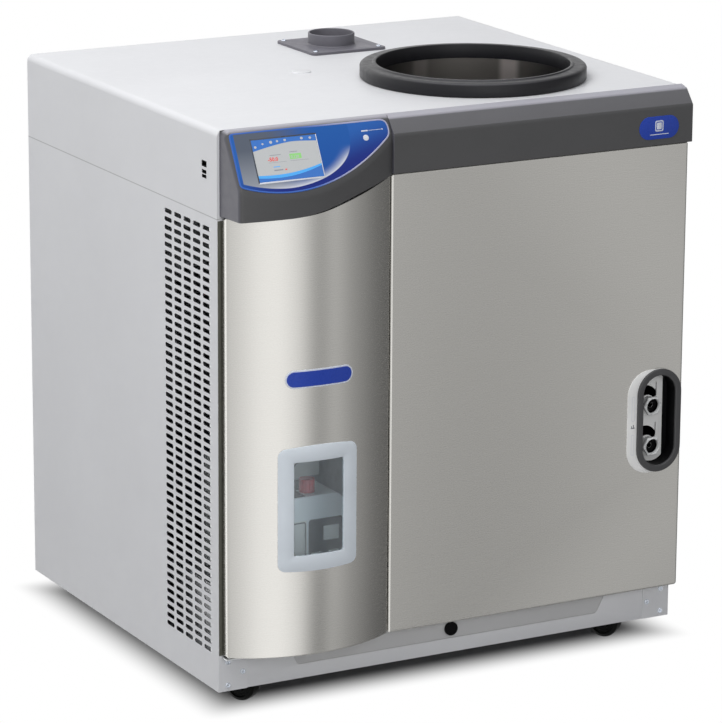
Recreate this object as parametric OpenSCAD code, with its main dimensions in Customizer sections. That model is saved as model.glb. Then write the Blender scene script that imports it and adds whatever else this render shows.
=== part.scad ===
// Console freeze dryer on four swivel casters. A sheet-metal cabinet holds a vacuum pump bay
// behind a curved door on the left, and a refrigerated collector chamber under a top collar on
// the right. Millimetres, +Z up. The origin is on the floor under the middle of the machine.
// Inside the modules x runs from the cabinet's left side, y from its front plane to its back,
// and z from the floor.

/* [Cabinet] */
// Width of the cabinet
cab_w = 808; // [740:1:980]
// Depth of the cabinet behind its front plane
cab_d = 684; // [640:1:830]
// Height of the cabinet's top face above the floor
cab_top = 900.4; // [750:0.1:1090]
// Clearance between the floor and the panels' lower edges
skirt_gap = 30.5; // [24:0.5:40]
// Thickness of the cabinet's sheet metal
sheet_t = 1.5; // [1:0.1:2]
// Height of the hood's sides, from the top face to the seam
hood_h = 133.9; // [120:0.1:150]
// Outer bend radius of the hood's long edges
edge_r = 11; // [6:0.5:15]
// Width of the folded returns around the front opening
return_w = 12; // [9:0.5:12]
// Inset of the back panel from the cabinet's back edges
back_inset = 6; // [4:0.5:12]

/* [Kick plate] */
// Height of the kick plate
kick_h = 58; // [50:1:60]
// Depth of the pressed recess along its upper edge
kick_recess = 1.2; // [0.6:0.1:1.4]
// Width of the corner flanges folded from the side panels
flange_w = 48.7; // [48:0.1:60]
// Diameter of the plug in the kick plate
kick_plug_d = 22; // [12:1:26]

/* [Side vents] */
// Length of a vent slot
vent_l = 25; // [14:0.5:28]
// Height of a vent slot
vent_h = 7; // [3:0.1:8]
// Number of vent columns
vent_cols = 5; // [1:1:6]
// Distance between vent columns
vent_pitch_y = 32.4; // [30:0.1:36]
// Distance between vent rows
vent_pitch_z = 13.1; // [10:0.1:30]

/* [Control panel] */
// Width of the control bezel, which is also the width of the pump bay
bay_w = 278; // [260:1:300]
// Projection of the bezel's bulge in front of the cabinet
front_reach = 63.5; // [62:0.5:68]
// Radius of the bulge, seen from above
bulge_r = 500; // [460:1:560]
// Tilt of the control face from the vertical
face_tilt = 27.9; // [24:0.1:30]
// Wall of the moulded bezels
bezel_wall = 3; // [2:0.1:3.6]
// Width of the touchscreen
screen_w = 109.5; // [80:0.5:120]
// Height of the touchscreen
screen_h = 69; // [45:0.5:72]

/* [Doors] */
// Radius of the curved pump door
door_r = 250; // [240:1:262]
// Projection of the flat front panel in front of the cabinet
panel_reach = 25; // [22:0.5:30]
// Width of the window's frame
window_w = 131; // [100:1:150]
// Height of the window's frame
window_h = 197; // [140:1:220]
// Height of the drain port's ring
port_h = 168; // [150:1:200]
// Width of the drain port's ring
port_w = 80.5; // [74:0.5:90]

/* [Collector] */
// Inner diameter of the collar
collar_id = 304.8; // [250:0.1:330]
// Width of the collar's ring
collar_band = 25.6; // [22:0.1:34]
// Height of the collar above the cabinet's top face
collar_rise = 24.2; // [16:0.1:36]
// Height of the collector chamber's floor above the deck
chamber_lift = 494; // [434:1:534]
// Wall of the chamber
chamber_t = 1.5; // [1:0.1:3]
// Thickness of the insulation around the chamber
foam_t = 22; // [15:1:23]
// Outer diameter of the exhaust outlet
duct_od = 76; // [50:1:100]

/* [Casters] */
// Diameter of a caster wheel
wheel_d = 50; // [41:1:54]
// Width of a caster wheel
wheel_w = 26; // [18:1:28]
// Height from the floor to the underside of the base
caster_h = 74; // [73:1:84]
// Distance from a caster's swivel axis to its wheel's axle
trail = 18; // [10:1:20]

/* [Hidden] */

// Clearances
run_gap = 0.05;    // radial gap of a pin that turns in a bore
seat_gap = 0.3;    // gap between parts that lie against each other and can move apart
fit_gap = 0.2;     // gap around a part that is set into a cut-out
cut = 1;           // how far a cutting body runs past the surface that it cuts

// Heights and planes that several parts share
seam_z = cab_top - hood_h;
deck_t = 2.5;
deck_z = caster_h + deck_t;
kick_top = skirt_gap + kick_h;
frame_y = 2 * sheet_t + kick_recess;          // front face of the inner frame
back_y = cab_d - back_inset - sheet_t;        // inner face of the back panel
post_w = 25;
post_t = 2;
post_top = cab_top - edge_r - 1;
door_z = kick_top + 0.5;                      // lower edge of both doors

// Front top region: the control bezel's lower edge is level, then climbs to the band
band_h = 86;
band_bottom = cab_top - band_h;
bezel_drop = 129.4;                           // control bezel's height at its left end
bezel_bottom = cab_top - bezel_drop;
climb_start = 90;
climb_angle = 15.4;
climb_r = 285;
lip_y = 14;                                   // depth of the level lip along the top
lip_z = cab_top - 2;                          // height where the slanted faces start
bulge_x = 95;

// Axis of the curved door's arc
door_cx = 148;
door_cy = 189;

// Collector
collar_ir = collar_id / 2;
collar_or = collar_ir + collar_band;
chamber_r = collar_ir + 3;
chamber_floor = deck_z + chamber_lift;
jacket_ir = chamber_r + chamber_t + fit_gap;
jacket_or = jacket_ir + foam_t;
collar_x = (bay_w + cab_w) / 2 + 2.8;
collar_y = jacket_or + 16.6;
jacket_bottom = chamber_floor - chamber_t - fit_gap - foam_t;
rim_r = chamber_r + 18;
coil_r = chamber_r - 14;
coil_tube = 9.5;
coil_pitch = 20;
coil_bottom = chamber_floor + 24;
coil_turns = floor((cab_top - coil_bottom - 84) / coil_pitch);
stub_r = 19;
hose_r = stub_r + 4;
hose_z = chamber_floor + 50;

// Top fittings
duct_plate = [135, 132, 4.5];
duct_x = collar_x - 74.3;
duct_y = (collar_y + collar_or + cab_d) / 2;
duct_rise = 23.5;
plug_d = 32;
plug_x = 323;
plug_y = 351;

// Drain port, near the front panel's right edge
port_x = cab_w - port_w / 2 - 4;
port_z = deck_z + 292;
port_band = 10.5;
port_in_w = port_w - 2 * port_band;
port_in_h = port_h - 2 * port_band;
port_ring_t = 3.5;
cup_w = port_in_w + 2;
cup_h = port_in_h + 2;
label_t = 1;
label_shift = 17.6;
fitting_r = 8;
nut_r = 16.5;
nut_l = 12;
neck_r = 12.5;
socket_r = 12;
hose_bore_r = 4;
socket_l = 10;
arch_r = 18;                                  // openings in the bracket, above the fittings
arch_shift = [-10, 12];
bracket_right = 28;                           // bracket's reach to the right of the fittings
fitting_x = port_x - 8.2;
fitting_zs = [port_z + 23, port_z - 43];

// Window in the curved door
window_x = 140.3;
window_z = deck_z + 245.3;
pane_w = window_w - 49;
pane_h = window_h - 51;
frame_proud = 1;

// Screen's centre on the slanted face, and the sockets on the hood's left side, each with its
// y and z, outer width and height, and inner width and height
screen_x = 97;
screen_y = -49.5;
ports = [[42, cab_top - 57.4, 16, 9, 12.5, 6.5], [42, cab_top - 69.4, 14.5, 5.5, 12.6, 3.4],
    [42, cab_top - 76.4, 14.5, 5, 12.6, 3.2]];

// Hinge of the curved door
hinge_x = 12.5;
hinge_y = -12;
hinge_pin_r = 3;
door_left = 6.5;
door_right = bay_w - 0.7;
door_cap_z = bezel_bottom - 7;                // top face of the door's upper end plate
strike_y = -6.5;                              // back face of the door's strike and end plates
post_x = bay_w - 16;                          // left face of the centre post

// Vacuum pump
pump_x = 155;
shelf_z = deck_z + 94;
pump_axis_z = shelf_z + 86;
pump_front = 40;
pump_block = [130, 105, 158];
pump_block_y = collar_y - 62;
motor_r = 58;
motor_l = 205;
inlet_x = pump_x + 35;
knob_x = pump_x + 30;
knob_y = pump_front + 26;
case_w = 160;
case_h = 128;
pump_foot = 8;

// Cooling
fan_x = cab_w - 250;
fan_z = deck_z + 184;
fan_r = 122;
shroud_d = 62;
coil_block = [300, 60, 300];
condenser_y = back_y - shroud_d - coil_block[1];
comp_x = bay_w + 150;
comp_r = 92;
comp_h = 225;
comp_y = condenser_y - comp_r - 26;
line_r = 6;

// Electrical parts
box_size = [210, 180, 180];
box_x = 30;
box_z = seam_z - 200;
inlet_pos = [box_x + 70, box_z + 60];
rocker_y = back_y + sheet_t + 2 - 5;
rocker_z = inlet_pos[1] + 14;

// Casters: swivel axes and the direction in which each wheel trails, in degrees
caster_in = 60;
caster_front = 51;
caster_spots = [[caster_in - 10, caster_front, 300], [cab_w - caster_in - 46, caster_front, 304],
    [caster_in, cab_d - caster_in, 60], [cab_w - caster_in, cab_d - caster_in, 200]];
caster_plate_w = 62;
crown_r = 22;
axle_r = 4;
king_r = 5;
plate_t = 3;
leg_t = 2.5;

// Screws of the corner flanges, from the outer lower corner, and of the exhaust outlet
flange_h = kick_h - 3;
flange_screws = [[15.5, 47.5], [41, 28.5], [15.5, 10]];
screw_r = 2;
screw_l = 4;

// ---------- helpers ----------

// Moves the cabinet so that the origin is under the middle of the whole machine
module placed() {
    translate([-cab_w / 2, -(cab_d - front_reach) / 2, 0]) children();
}

// Extrudes a drawing of the x-z plane along y, from y to y + depth
module along_y(y, depth) {
    translate([0, y + depth, 0]) rotate([90, 0, 0]) linear_extrude(depth) children();
}

// Extrudes a drawing of the y-z plane along x, from x to x + depth
module along_x(x, depth) {
    translate([x, 0, 0]) rotate([90, 0, 90]) linear_extrude(depth) children();
}

// Upright slot with round ends, centred
module stadium(w, h) {
    translate([-w / 2, -(h - w) / 2]) square([w, h - w]);
    for (s = [-1, 1]) translate([0, s * (h - w) / 2]) circle(d = w, $fn = 48);
}

// Centred rectangle with round corners
module rounded(w, h, r) {
    translate([-w / 2 + r, -h / 2]) square([w - 2 * r, h]);
    translate([-w / 2, -h / 2 + r]) square([w, h - 2 * r]);
    for (x = [-1, 1], y = [-1, 1])
        translate([x * (w / 2 - r), y * (h / 2 - r)]) circle(r, $fn = 48);
}

// Hood's end view: a rectangle from z = 0 with round upper corners
module arch(w, h, r) {
    translate([r, 0]) square([w - 2 * r, h]);
    square([w, h - r]);
    for (x = [r, w - r]) translate([x, h - r]) circle(r, $fn = 64);
}

// Round bar between two points
module rod(a, b, r) {
    d = b - a;
    translate(a) rotate([0, acos(d[2] / norm(d)), atan2(d[1], d[0])])
        cylinder(r = r, h = norm(d), $fn = 32);
}

// Pipe through a list of points, with a soldered elbow at each turn
module pipe(points, r) {
    for (i = [0 : len(points) - 2]) rod(points[i], points[i + 1], r);
    for (i = [1 : len(points) - 2]) translate(points[i]) sphere(r = r * 1.25, $fn = 32);
}

// Ring standing on the x-y plane
module ring(r_out, r_in, h) {
    difference() {
        cylinder(r = r_out, h = h, $fn = 128);
        translate([0, 0, -cut]) cylinder(r = r_in, h = h + 2 * cut, $fn = 128);
    }
}

// ---------- cabinet ----------

module base_pan() {
    y0 = frame_y;
    w = cab_w - 2 * sheet_t;
    d = back_y - y0;
    skirt = 20;
    color("gainsboro") placed() difference() {
        translate([sheet_t, y0, caster_h - skirt]) cube([w, d, skirt + deck_t]);
        translate([sheet_t + deck_t, y0 + deck_t, caster_h - skirt - cut])
            cube([w - 2 * deck_t, d - 2 * deck_t, skirt + cut]);
        for (s = caster_spots) translate([s[0], s[1], caster_h - cut])
            cylinder(r = king_r + 2, h = deck_t + 2 * cut, $fn = 48);
    }
}

// Welded frame: four corner angles, a centre post and the rails that join them
module inner_frame() {
    w = cab_w - 2 * sheet_t;
    d = back_y - frame_y;
    rail = 25;
    rail_z = post_top - rail;
    rail_low = bezel_bottom + bezel_wall;
    front_h = post_top - rail_low;
    color("silver") placed() difference() {
        union() {
            for (right = [0, 1], rear = [0, 1]) {
                x = sheet_t + right * (w - post_w);
                y = frame_y + rear * (d - post_w);
                translate([x, y + rear * (post_w - post_t), deck_z])
                    cube([post_w, post_t, post_top - deck_z]);
                translate([x + right * (post_w - post_t), y, deck_z])
                    cube([post_t, post_w, post_top - deck_z]);
            }
            for (right = [0, 1]) translate([sheet_t + right * (w - post_t), frame_y, rail_z])
                cube([post_t, d, rail]);
            translate([sheet_t, back_y - post_t, rail_z]) cube([w, post_t, rail]);
            // front rail behind the bezels
            translate([sheet_t, frame_y, post_top - front_h]) cube([w, post_t, front_h]);
            for (z = [post_top - front_h, post_top - post_t])
                translate([sheet_t, frame_y, z]) cube([w, 9, post_t]);
            // centre post between the pump bay and the refrigeration bay
            translate([post_x, frame_y, deck_z]) cube([post_w, post_t, rail_low + 1 - deck_z]);
            translate([post_x, frame_y, deck_z]) cube([post_t, post_w, rail_low + 1 - deck_z]);
        }
        // cable passage behind the control panel
        along_y(frame_y - cut, post_t + 2 * cut)
            translate([bay_w / 2, post_top - front_h / 2]) rounded(90, 40, 8);
    }
}

module kick_recess_shape(grow) {
    low = skirt_gap + 23;
    x0 = 136;
    x1 = cab_w - 135;
    slant = 18;
    polygon([[x0 - grow, low - grow], [x1 + grow, low - grow],
        [x1 + slant + grow, kick_top + cut], [x0 - slant - grow, kick_top + cut]]);
}

module kick_plate() {
    color("gainsboro") placed() difference() {
        union() {
            along_y(sheet_t, sheet_t) difference() {
                translate([sheet_t, skirt_gap]) square([cab_w - 2 * sheet_t, kick_h]);
                kick_recess_shape(0);
            }
            along_y(sheet_t + kick_recess, sheet_t) intersection() {
                translate([sheet_t, skirt_gap]) square([cab_w - 2 * sheet_t, kick_h]);
                kick_recess_shape(sheet_t);
            }
        }
        flange_holes(sheet_t - cut, 2 * sheet_t + cut);
        along_y(0, 2 * frame_y) translate([kick_plug_x(), kick_plug_z()])
            circle(d = kick_plug_d - 6, $fn = 48);
    }
}

function kick_plug_x() = cab_w / 2 + 2;
function kick_plug_z() = skirt_gap + 39;

module kick_plug() {
    color([0.05, 0.05, 0.05]) placed() translate([kick_plug_x(), 0, kick_plug_z()]) {
        along_y(sheet_t + kick_recess - 4, 4) circle(d = kick_plug_d, $fn = 64);
        along_y(frame_y - 3, 2.9) circle(d = kick_plug_d - 6.4, $fn = 48);
    }
}

module flange_holes(y, depth) {
    for (s = flange_screws, x = [s[0], cab_w - s[0]])
        along_y(y, depth) translate([x, skirt_gap + s[1]]) circle(screw_r + 0.1, $fn = 32);
}

module vent_field(cols, rows, y0, z0) {
    for (c = [0 : cols - 1], r = [0 : rows - 1])
        translate([y0 + c * vent_pitch_y, z0 + r * vent_pitch_z])
            rotate(90) stadium(vent_h, vent_l);
}

// Left side panel: a vented sheet with a front return and a wider flange at its foot
module side_panel() {
    margin = 19;
    z0 = kick_top + 3;
    rows = floor((seam_z - margin - z0) / vent_pitch_z) + 1;
    difference() {
        union() {
            along_x(0, sheet_t) difference() {
                translate([0, skirt_gap]) square([cab_d, seam_z - skirt_gap]);
                vent_field(vent_cols, rows, 35.8, z0);
            }
            translate([0, 0, skirt_gap]) cube([return_w, sheet_t, seam_z - skirt_gap]);
            translate([0, 0, skirt_gap]) cube([flange_w, sheet_t, flange_h]);
            translate([0, back_y + sheet_t, skirt_gap])
                cube([return_w, sheet_t, seam_z - skirt_gap]);
        }
        flange_holes(-cut, sheet_t + 2 * cut);
    }
}

module left_side_panel() {
    color("whitesmoke") placed() side_panel();
}

module right_side_panel() {
    color("whitesmoke") placed() translate([cab_w, 0, 0]) mirror([1, 0, 0]) side_panel();
}

module back_panel() {
    rows = floor((2 * fan_r) / vent_pitch_z);
    cols = floor((2 * fan_r) / vent_pitch_y) + 1;
    color("whitesmoke") placed() along_y(back_y, sheet_t) difference() {
        translate([sheet_t, skirt_gap]) square([cab_w - 2 * sheet_t, seam_z - skirt_gap]);
        vent_field(cols, rows, fan_x - (cols - 1) * vent_pitch_y / 2,
            fan_z - (rows - 1) * vent_pitch_z / 2);
        translate(inlet_pos) square([30.4, 60.4], center = true);
    }
}

module hood() {
    color("whitesmoke") placed() difference() {
        union() {
            along_y(0, cab_d) difference() {
                translate([0, seam_z]) arch(cab_w, hood_h, edge_r);
                translate([sheet_t, seam_z - cut])
                    arch(cab_w - 2 * sheet_t, hood_h + cut - sheet_t, edge_r - sheet_t);
            }
            along_y(back_y, sheet_t) translate([0, seam_z]) arch(cab_w, hood_h, edge_r);
            along_y(0, sheet_t) difference() {
                translate([0, seam_z]) arch(cab_w, hood_h, edge_r);
                translate([return_w, seam_z - cut])
                    square([cab_w - 2 * return_w, hood_h - 30 + cut]);
            }
        }
        translate([collar_x, collar_y, cab_top - sheet_t - cut])
            cylinder(r = chamber_r + chamber_t + 1, h = sheet_t + 2 * cut, $fn = 128);
        translate([duct_x, duct_y, cab_top - sheet_t - cut])
            cylinder(d = duct_od + 0.6, h = sheet_t + 2 * cut, $fn = 96);
        translate([plug_x, plug_y, cab_top - sheet_t - cut])
            cylinder(d = plug_d - 9.6, h = sheet_t + 2 * cut, $fn = 64);
        duct_screw_spots() cylinder(r = screw_r + 0.1, h = 30, center = true, $fn = 32);
        for (p = ports) translate([-cut, p[0] - p[2] / 2 - fit_gap, p[1] - p[3] / 2 - fit_gap])
            cube([sheet_t + 2 * cut, p[2] + 2 * fit_gap, p[3] + 2 * fit_gap]);
    }
}

module duct_screw_spots() {
    for (x = [-1, 1], y = [-1, 1])
        translate([duct_x + x * (duct_plate[0] / 2 - 10), duct_y + y * (duct_plate[1] / 2 - 10),
            cab_top]) children();
}

module small_screws() {
    head_r = 4.2;
    head_h = 2.2;
    color("lightsteelblue") placed() {
        for (s = flange_screws, x = [s[0], cab_w - s[0]])
            translate([x, 0, skirt_gap + s[1]]) {
                along_y(-head_h, head_h) circle(head_r, $fn = 32);
                along_y(-cut, screw_l + cut) circle(screw_r, $fn = 32);
            }
        duct_screw_spots() translate([0, 0, duct_plate[2]]) {
            cylinder(r = head_r, h = head_h, $fn = 32);
            translate([0, 0, -duct_plate[2] - screw_l])
                cylinder(r = screw_r, h = duct_plate[2] + screw_l + cut, $fn = 32);
        }
    }
}

// ---------- control panel and bezels ----------

// Height of the lower edge of the control bezel at x: level, an arc, then a straight climb
function arc_end() = climb_start + climb_r * sin(climb_angle);
function edge_z(x) = x < climb_start ? bezel_bottom
    : x < arc_end() ? bezel_bottom + climb_r - sqrt(pow(climb_r, 2) - pow(x - climb_start, 2))
    : bezel_bottom + climb_r * (1 - cos(climb_angle)) + (x - arc_end()) * tan(climb_angle);

// Points of the lower edge, shifted down by drop, from the left to the right
function edge_points(drop) = concat([[-50, bezel_bottom - drop]],
    [for (i = [0 : 16]) let (x = climb_start + i * (arc_end() - climb_start) / 16)
        [x, edge_z(x) - drop]],
    [[cab_w, edge_z(cab_w) - drop]]);

// Places its children on the slanted control face: x across, y up the slope, z outwards
module on_face(out = 0) {
    translate([0, -lip_y, lip_z]) rotate([90 - face_tilt, 0, 0]) translate([0, 0, out])
        children();
}

// Solid form of the control bezel, shrunk by inset on every outer side and reaching back to y
module bezel_form(inset, right_end, y) {
    z0 = bezel_bottom - 10;
    far = -2 * front_reach;
    intersection() {
        // outline from above: a slanted left wall and the bulge
        translate([0, 0, z0]) linear_extrude(cab_top - inset - z0) intersection() {
            translate([bulge_x, bulge_r - front_reach]) circle(bulge_r - inset, $fn = 360);
            polygon([[4 + inset, y], [right_end, y], [right_end, far], [16 + inset, far]]);
        }
        // lower edge, seen from the front
        along_y(far, y - far) polygon(concat(edge_points(-inset),
            [[cab_w, cab_top + 20], [-50, cab_top + 20]]));
        // slanted face and level lip, seen from the side
        along_x(-cut, right_end + 2 * cut) polygon([[y, z0], [far, z0],
            [far, slope_z(far, inset)], [slope_y(cab_top - inset, inset), cab_top - inset],
            [y, cab_top - inset]]);
    }
}

// The slanted face in the y-z plane, moved inwards by inset
function slope_z(y, inset) = lip_z + (y + lip_y) / tan(face_tilt) - inset / sin(face_tilt);
function slope_y(z, inset) = -lip_y + (z - lip_z + inset / sin(face_tilt)) * tan(face_tilt);

module screen_opening(gap) {
    on_face(-20) linear_extrude(40) translate([screen_x, screen_y])
        square([screen_w + 2 * gap, screen_h + 2 * gap], center = true);
}

module control_bezel() {
    color([0.3, 0.3, 0.31]) placed() difference() {
        bezel_form(0, bay_w, 0);
        bezel_form(bezel_wall, bay_w - bezel_wall, cut);
        screen_opening(0.4);
        translate([hinge_x, hinge_y, bezel_bottom - cut])
            cylinder(r = hinge_pin_r + 0.4, h = bezel_wall + 2 * cut, $fn = 48);
    }
}

// Section of the band bezel in the y-z plane, shrunk by wall on its outer sides
module band_section(wall, y) {
    brow_y = -15;
    brow_z = cab_top - 4;
    fold_y = -34;
    fold_z = cab_top - 27;
    polygon([[y, cab_top - wall], [brow_y + wall / 2, brow_z - wall],
        [fold_y + wall, fold_z - wall / 2.5], [fold_y + wall, band_bottom + wall],
        [y, band_bottom + wall]]);
}

module band_bezel() {
    color([0.3, 0.3, 0.31]) placed() difference() {
        along_x(bay_w + seat_gap, cab_w - bay_w - seat_gap) band_section(0, 0);
        along_x(bay_w + seat_gap + bezel_wall, cab_w - bay_w - seat_gap - 2 * bezel_wall)
            band_section(bezel_wall, cut);
    }
}

// Leaf-shaped film on the slanted face
module display_overlay() {
    film = 0.8;
    edge = 2.5;
    color([0.12, 0.3, 0.7]) placed() difference() {
        intersection() {
            on_face() linear_extrude(film) translate([bay_w / 2 + 4, -61])
                rounded(bay_w - 14, 118, 7);
            translate([0, 0, bezel_bottom]) linear_extrude(hood_h)
                translate([bulge_x, bulge_r - front_reach]) circle(bulge_r - edge, $fn = 360);
        }
        screen_opening(0.4);
    }
}

module touchscreen() {
    color([0.85, 0.88, 0.92]) placed() on_face(-6) linear_extrude(7)
        translate([screen_x, screen_y]) square([screen_w, screen_h], center = true);
}

module control_board() {
    color("darkgreen") placed() on_face(-15) linear_extrude(9)
        translate([screen_x, screen_y]) square([screen_w - 4, screen_h - 4], center = true);
}

module band_emblem() {
    color([0.12, 0.3, 0.7]) placed() along_y(-35.2, 1.2)
        translate([cab_w - 62, cab_top - 58]) rotate(90) stadium(36, 72);
}

module side_ports() {
    depth = 15;
    board = 2;
    color([0.08, 0.08, 0.08]) placed() difference() {
        union() {
            for (p = ports) translate([0, p[0] - p[2] / 2, p[1] - p[3] / 2])
                cube([depth + 0.5, p[2], p[3]]);
            translate([depth, ports[0][0] - 11, ports[2][1] - 6])
                cube([board, 22, ports[0][1] - ports[2][1] + 14]);
        }
        for (p = ports) translate([-cut, p[0] - p[4] / 2, p[1] - p[5] / 2])
            cube([depth - 3 + cut, p[4], p[5]]);
    }
}

// ---------- front panel and drain port ----------

module port_cut(y, depth, w, h) {
    along_y(y, depth) translate([port_x, port_z]) stadium(w, h);
}

module front_panel() {
    x0 = bay_w + 1;
    w = cab_w - 0.5 - x0;
    h = band_bottom - 0.8 - door_z;
    color([0.68, 0.67, 0.65]) placed() difference() {
        translate([x0, -panel_reach, door_z]) cube([w, panel_reach, h]);
        translate([x0 + sheet_t, -panel_reach + sheet_t, door_z + sheet_t])
            cube([w - 2 * sheet_t, panel_reach, h - 2 * sheet_t]);
        port_cut(-panel_reach - cut, sheet_t + 2 * cut, cup_w + 2 * fit_gap, cup_h + 2 * fit_gap);
    }
}

module port_label() {
    color([0.82, 0.82, 0.82]) placed() difference() {
        along_y(-panel_reach - label_t, label_t) translate([port_x - label_shift / 2, port_z])
            rounded(port_w + label_shift, port_h, port_w / 2 - 0.01);
        port_cut(-panel_reach - label_t - cut, label_t + 2 * cut, cup_w + 2 * fit_gap,
            cup_h + 2 * fit_gap);
    }
}

module port_ring() {
    y = -panel_reach - label_t - port_ring_t;
    color([0.26, 0.26, 0.26]) placed() difference() {
        port_cut(y, port_ring_t, port_w, port_h);
        port_cut(y - cut, port_ring_t + 2 * cut, port_in_w, port_in_h);
    }
}

module port_recess() {
    y = -panel_reach - label_t;
    wall = 1.5;
    color([0.06, 0.06, 0.06]) placed() difference() {
        port_cut(y, -y - 2, cup_w, cup_h);
        port_cut(y - cut, -y - 2 - wall + cut, cup_w - 2 * wall, cup_h - 2 * wall);
        for (z = fitting_zs) along_y(-10, 20) translate([fitting_x, z])
            circle(fitting_r + 0.1, $fn = 48);
    }
}

module port_bracket() {
    play = 5;
    color([0.78, 0.78, 0.78]) placed() difference() {
        intersection() {
            port_cut(-5, 1.5, cup_w - play, cup_h - play);
            translate([0, -6, 0]) cube([fitting_x + bracket_right, 4, cab_top]);
        }
        for (z = fitting_zs) along_y(-10, 20) translate([fitting_x, z]) {
            circle(fitting_r + 0.1, $fn = 48);
            difference() {
                translate(arch_shift) circle(arch_r, $fn = 64);
                circle(neck_r + 1.5, $fn = 48);
            }
        }
    }
}

// Two hose fittings, each with a hexagonal nut at its front and a stub through the bracket
module drain_fittings() {
    nut_y = -24;
    color([0.74, 0.76, 0.78]) placed() for (z = fitting_zs) difference() {
        union() {
            along_y(nut_y, nut_l) translate([fitting_x, z]) circle(nut_r, $fn = 6);
            along_y(nut_y + nut_l - cut, 8) translate([fitting_x, z]) circle(neck_r, $fn = 48);
            along_y(-6, 10) translate([fitting_x, z]) circle(fitting_r, $fn = 48);
        }
        along_y(nut_y - cut, socket_l + cut) translate([fitting_x, z])
            circle(socket_r, $fn = 48);
        along_y(nut_y - cut, 30) translate([fitting_x, z]) circle(hose_bore_r, $fn = 48);
    }
}

module drain_tubes() {
    y0 = 4;
    far = [40, 0];
    side = [0, -40];
    color([0.85, 0.87, 0.85, 0.8]) placed() for (i = [0, 1]) {
        z = fitting_zs[i];
        y = collar_y + side[i];
        x = collar_x + far[i];
        pipe([[fitting_x, y0, z], [fitting_x, y, z], [x, y, z], [x, y, jacket_bottom]],
            line_r);
    }
}

// ---------- pump door ----------

// Stretch of the door's curved sheet between two radii
module door_shell(r_out, r_in, x0, x1, z0, z1) {
    intersection() {
        translate([door_cx, door_cy, z0]) difference() {
            cylinder(r = r_out, h = z1 - z0, $fn = 360);
            translate([0, 0, -cut]) cylinder(r = r_in, h = z1 - z0 + 2 * cut, $fn = 360);
        }
        translate([x0, -front_reach - 20, z0]) cube([x1 - x0, front_reach + 10, z1 - z0]);
    }
}

module window_cut(w, h, r) {
    translate([window_x, 0, window_z]) along_y(-front_reach - 20, front_reach)
        rounded(w, h, r);
}

// Region between two shallow arcs, which are level at the middle and fall off by top and
// bottom at the sides
module crowned(w, h, top, bottom) {
    r_top = (w * w / 4 + top * top) / (2 * top);
    r_bottom = (w * w / 4 + bottom * bottom) / (2 * bottom);
    intersection() {
        translate([0, h / 2 - r_top]) circle(r_top, $fn = 720);
        translate([0, r_bottom - h / 2]) circle(r_bottom, $fn = 720);
    }
}

module door_end_plate(z) {
    intersection() {
        translate([door_cx, door_cy, z]) cylinder(r = door_r - 0.5, h = sheet_t, $fn = 360);
        translate([door_left, -front_reach - 20, z])
            cube([door_right - door_left, front_reach + 20 + strike_y, sheet_t]);
    }
}

module pump_door() {
    under_bezel = 2;
    flange_front = -17;
    color([0.78, 0.77, 0.75]) placed() difference() {
        union() {
            intersection() {
                door_shell(door_r, door_r - sheet_t, door_left, door_right, door_z, cab_top);
                along_y(-front_reach - 20, front_reach + 20)
                    polygon(concat(edge_points(under_bezel), [[cab_w, 0], [-50, 0]]));
            }
            translate([door_left, flange_front, door_z])
                cube([sheet_t, -3 - flange_front, door_cap_z - door_z]);
            translate([door_right - sheet_t, -panel_reach + 0.6, door_z])
                cube([sheet_t, panel_reach - 0.6 + strike_y, door_cap_z - door_z]);
            translate([door_right - 15, strike_y - sheet_t, door_z])
                cube([15, sheet_t, door_cap_z - door_z]);
            for (z = [door_z, door_cap_z - sheet_t]) door_end_plate(z);
        }
        window_cut(window_w - 10 + 2 * fit_gap, window_h - 10 + 2 * fit_gap, 10);
        translate([hinge_x, hinge_y, 0])
            cylinder(r = hinge_pin_r + run_gap, h = cab_top, $fn = 48);
    }
}

module window_frame() {
    z0 = window_z - window_h / 2 - cut;
    z1 = window_z + window_h / 2 + cut;
    color([0.74, 0.79, 0.82]) placed() difference() {
        union() {
            intersection() {
                door_shell(door_r + frame_proud, door_r + 0.05, 0, bay_w, z0, z1);
                window_cut(window_w, window_h, 11);
                translate([window_x, 0, window_z]) along_y(-front_reach - 20, front_reach)
                    crowned(window_w, window_h, 5, 2.5);
            }
            intersection() {
                door_shell(door_r + 0.5, door_r - 2.6, 0, bay_w, z0, z1);
                window_cut(window_w - 10, window_h - 10, 10);
            }
        }
        window_cut(pane_w + 2 * fit_gap, pane_h + 2 * fit_gap, 8);
    }
}

module window_pane() {
    color([0.8, 0.86, 0.9, 0.4]) placed() intersection() {
        door_shell(door_r + 0.4, door_r - 1.6, 0, bay_w, window_z - pane_h, window_z + pane_h);
        window_cut(pane_w, pane_h, 8);
    }
}

module door_badge() {
    z = window_z + 202;
    color([0.12, 0.3, 0.7]) placed() intersection() {
        door_shell(door_r + 1.6, door_r + 0.05, 0, bay_w, z - 20, z + 20);
        along_y(-front_reach - 20, front_reach) translate([window_x + 1, z]) rotate(90)
            stadium(28, 112);
    }
}

module hinge_brackets() {
    plate = 2;
    low_z = skirt_gap + flange_h + 0.1;
    top_z = bezel_bottom + bezel_wall;
    color("silver") placed() {
        translate([5, -18, low_z]) cube([29, 18, plate]);
        translate([return_w + 0.5, -cut, low_z]) cube([34 - return_w - 0.5, cut + sheet_t, plate]);
        translate([hinge_x, hinge_y, low_z])
            cylinder(r = hinge_pin_r, h = door_z + sheet_t + 2 - low_z, $fn = 48);
        translate([9.4, -18, top_z]) cube([24.6, 18, plate]);
        translate([return_w + 0.5, -cut, top_z])
            cube([34 - return_w - 0.5, cut + frame_y, plate]);
        translate([hinge_x, hinge_y, door_cap_z - sheet_t - 2])
            cylinder(r = hinge_pin_r, h = top_z + plate - door_cap_z + sheet_t + 2, $fn = 48);
    }
}

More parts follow.
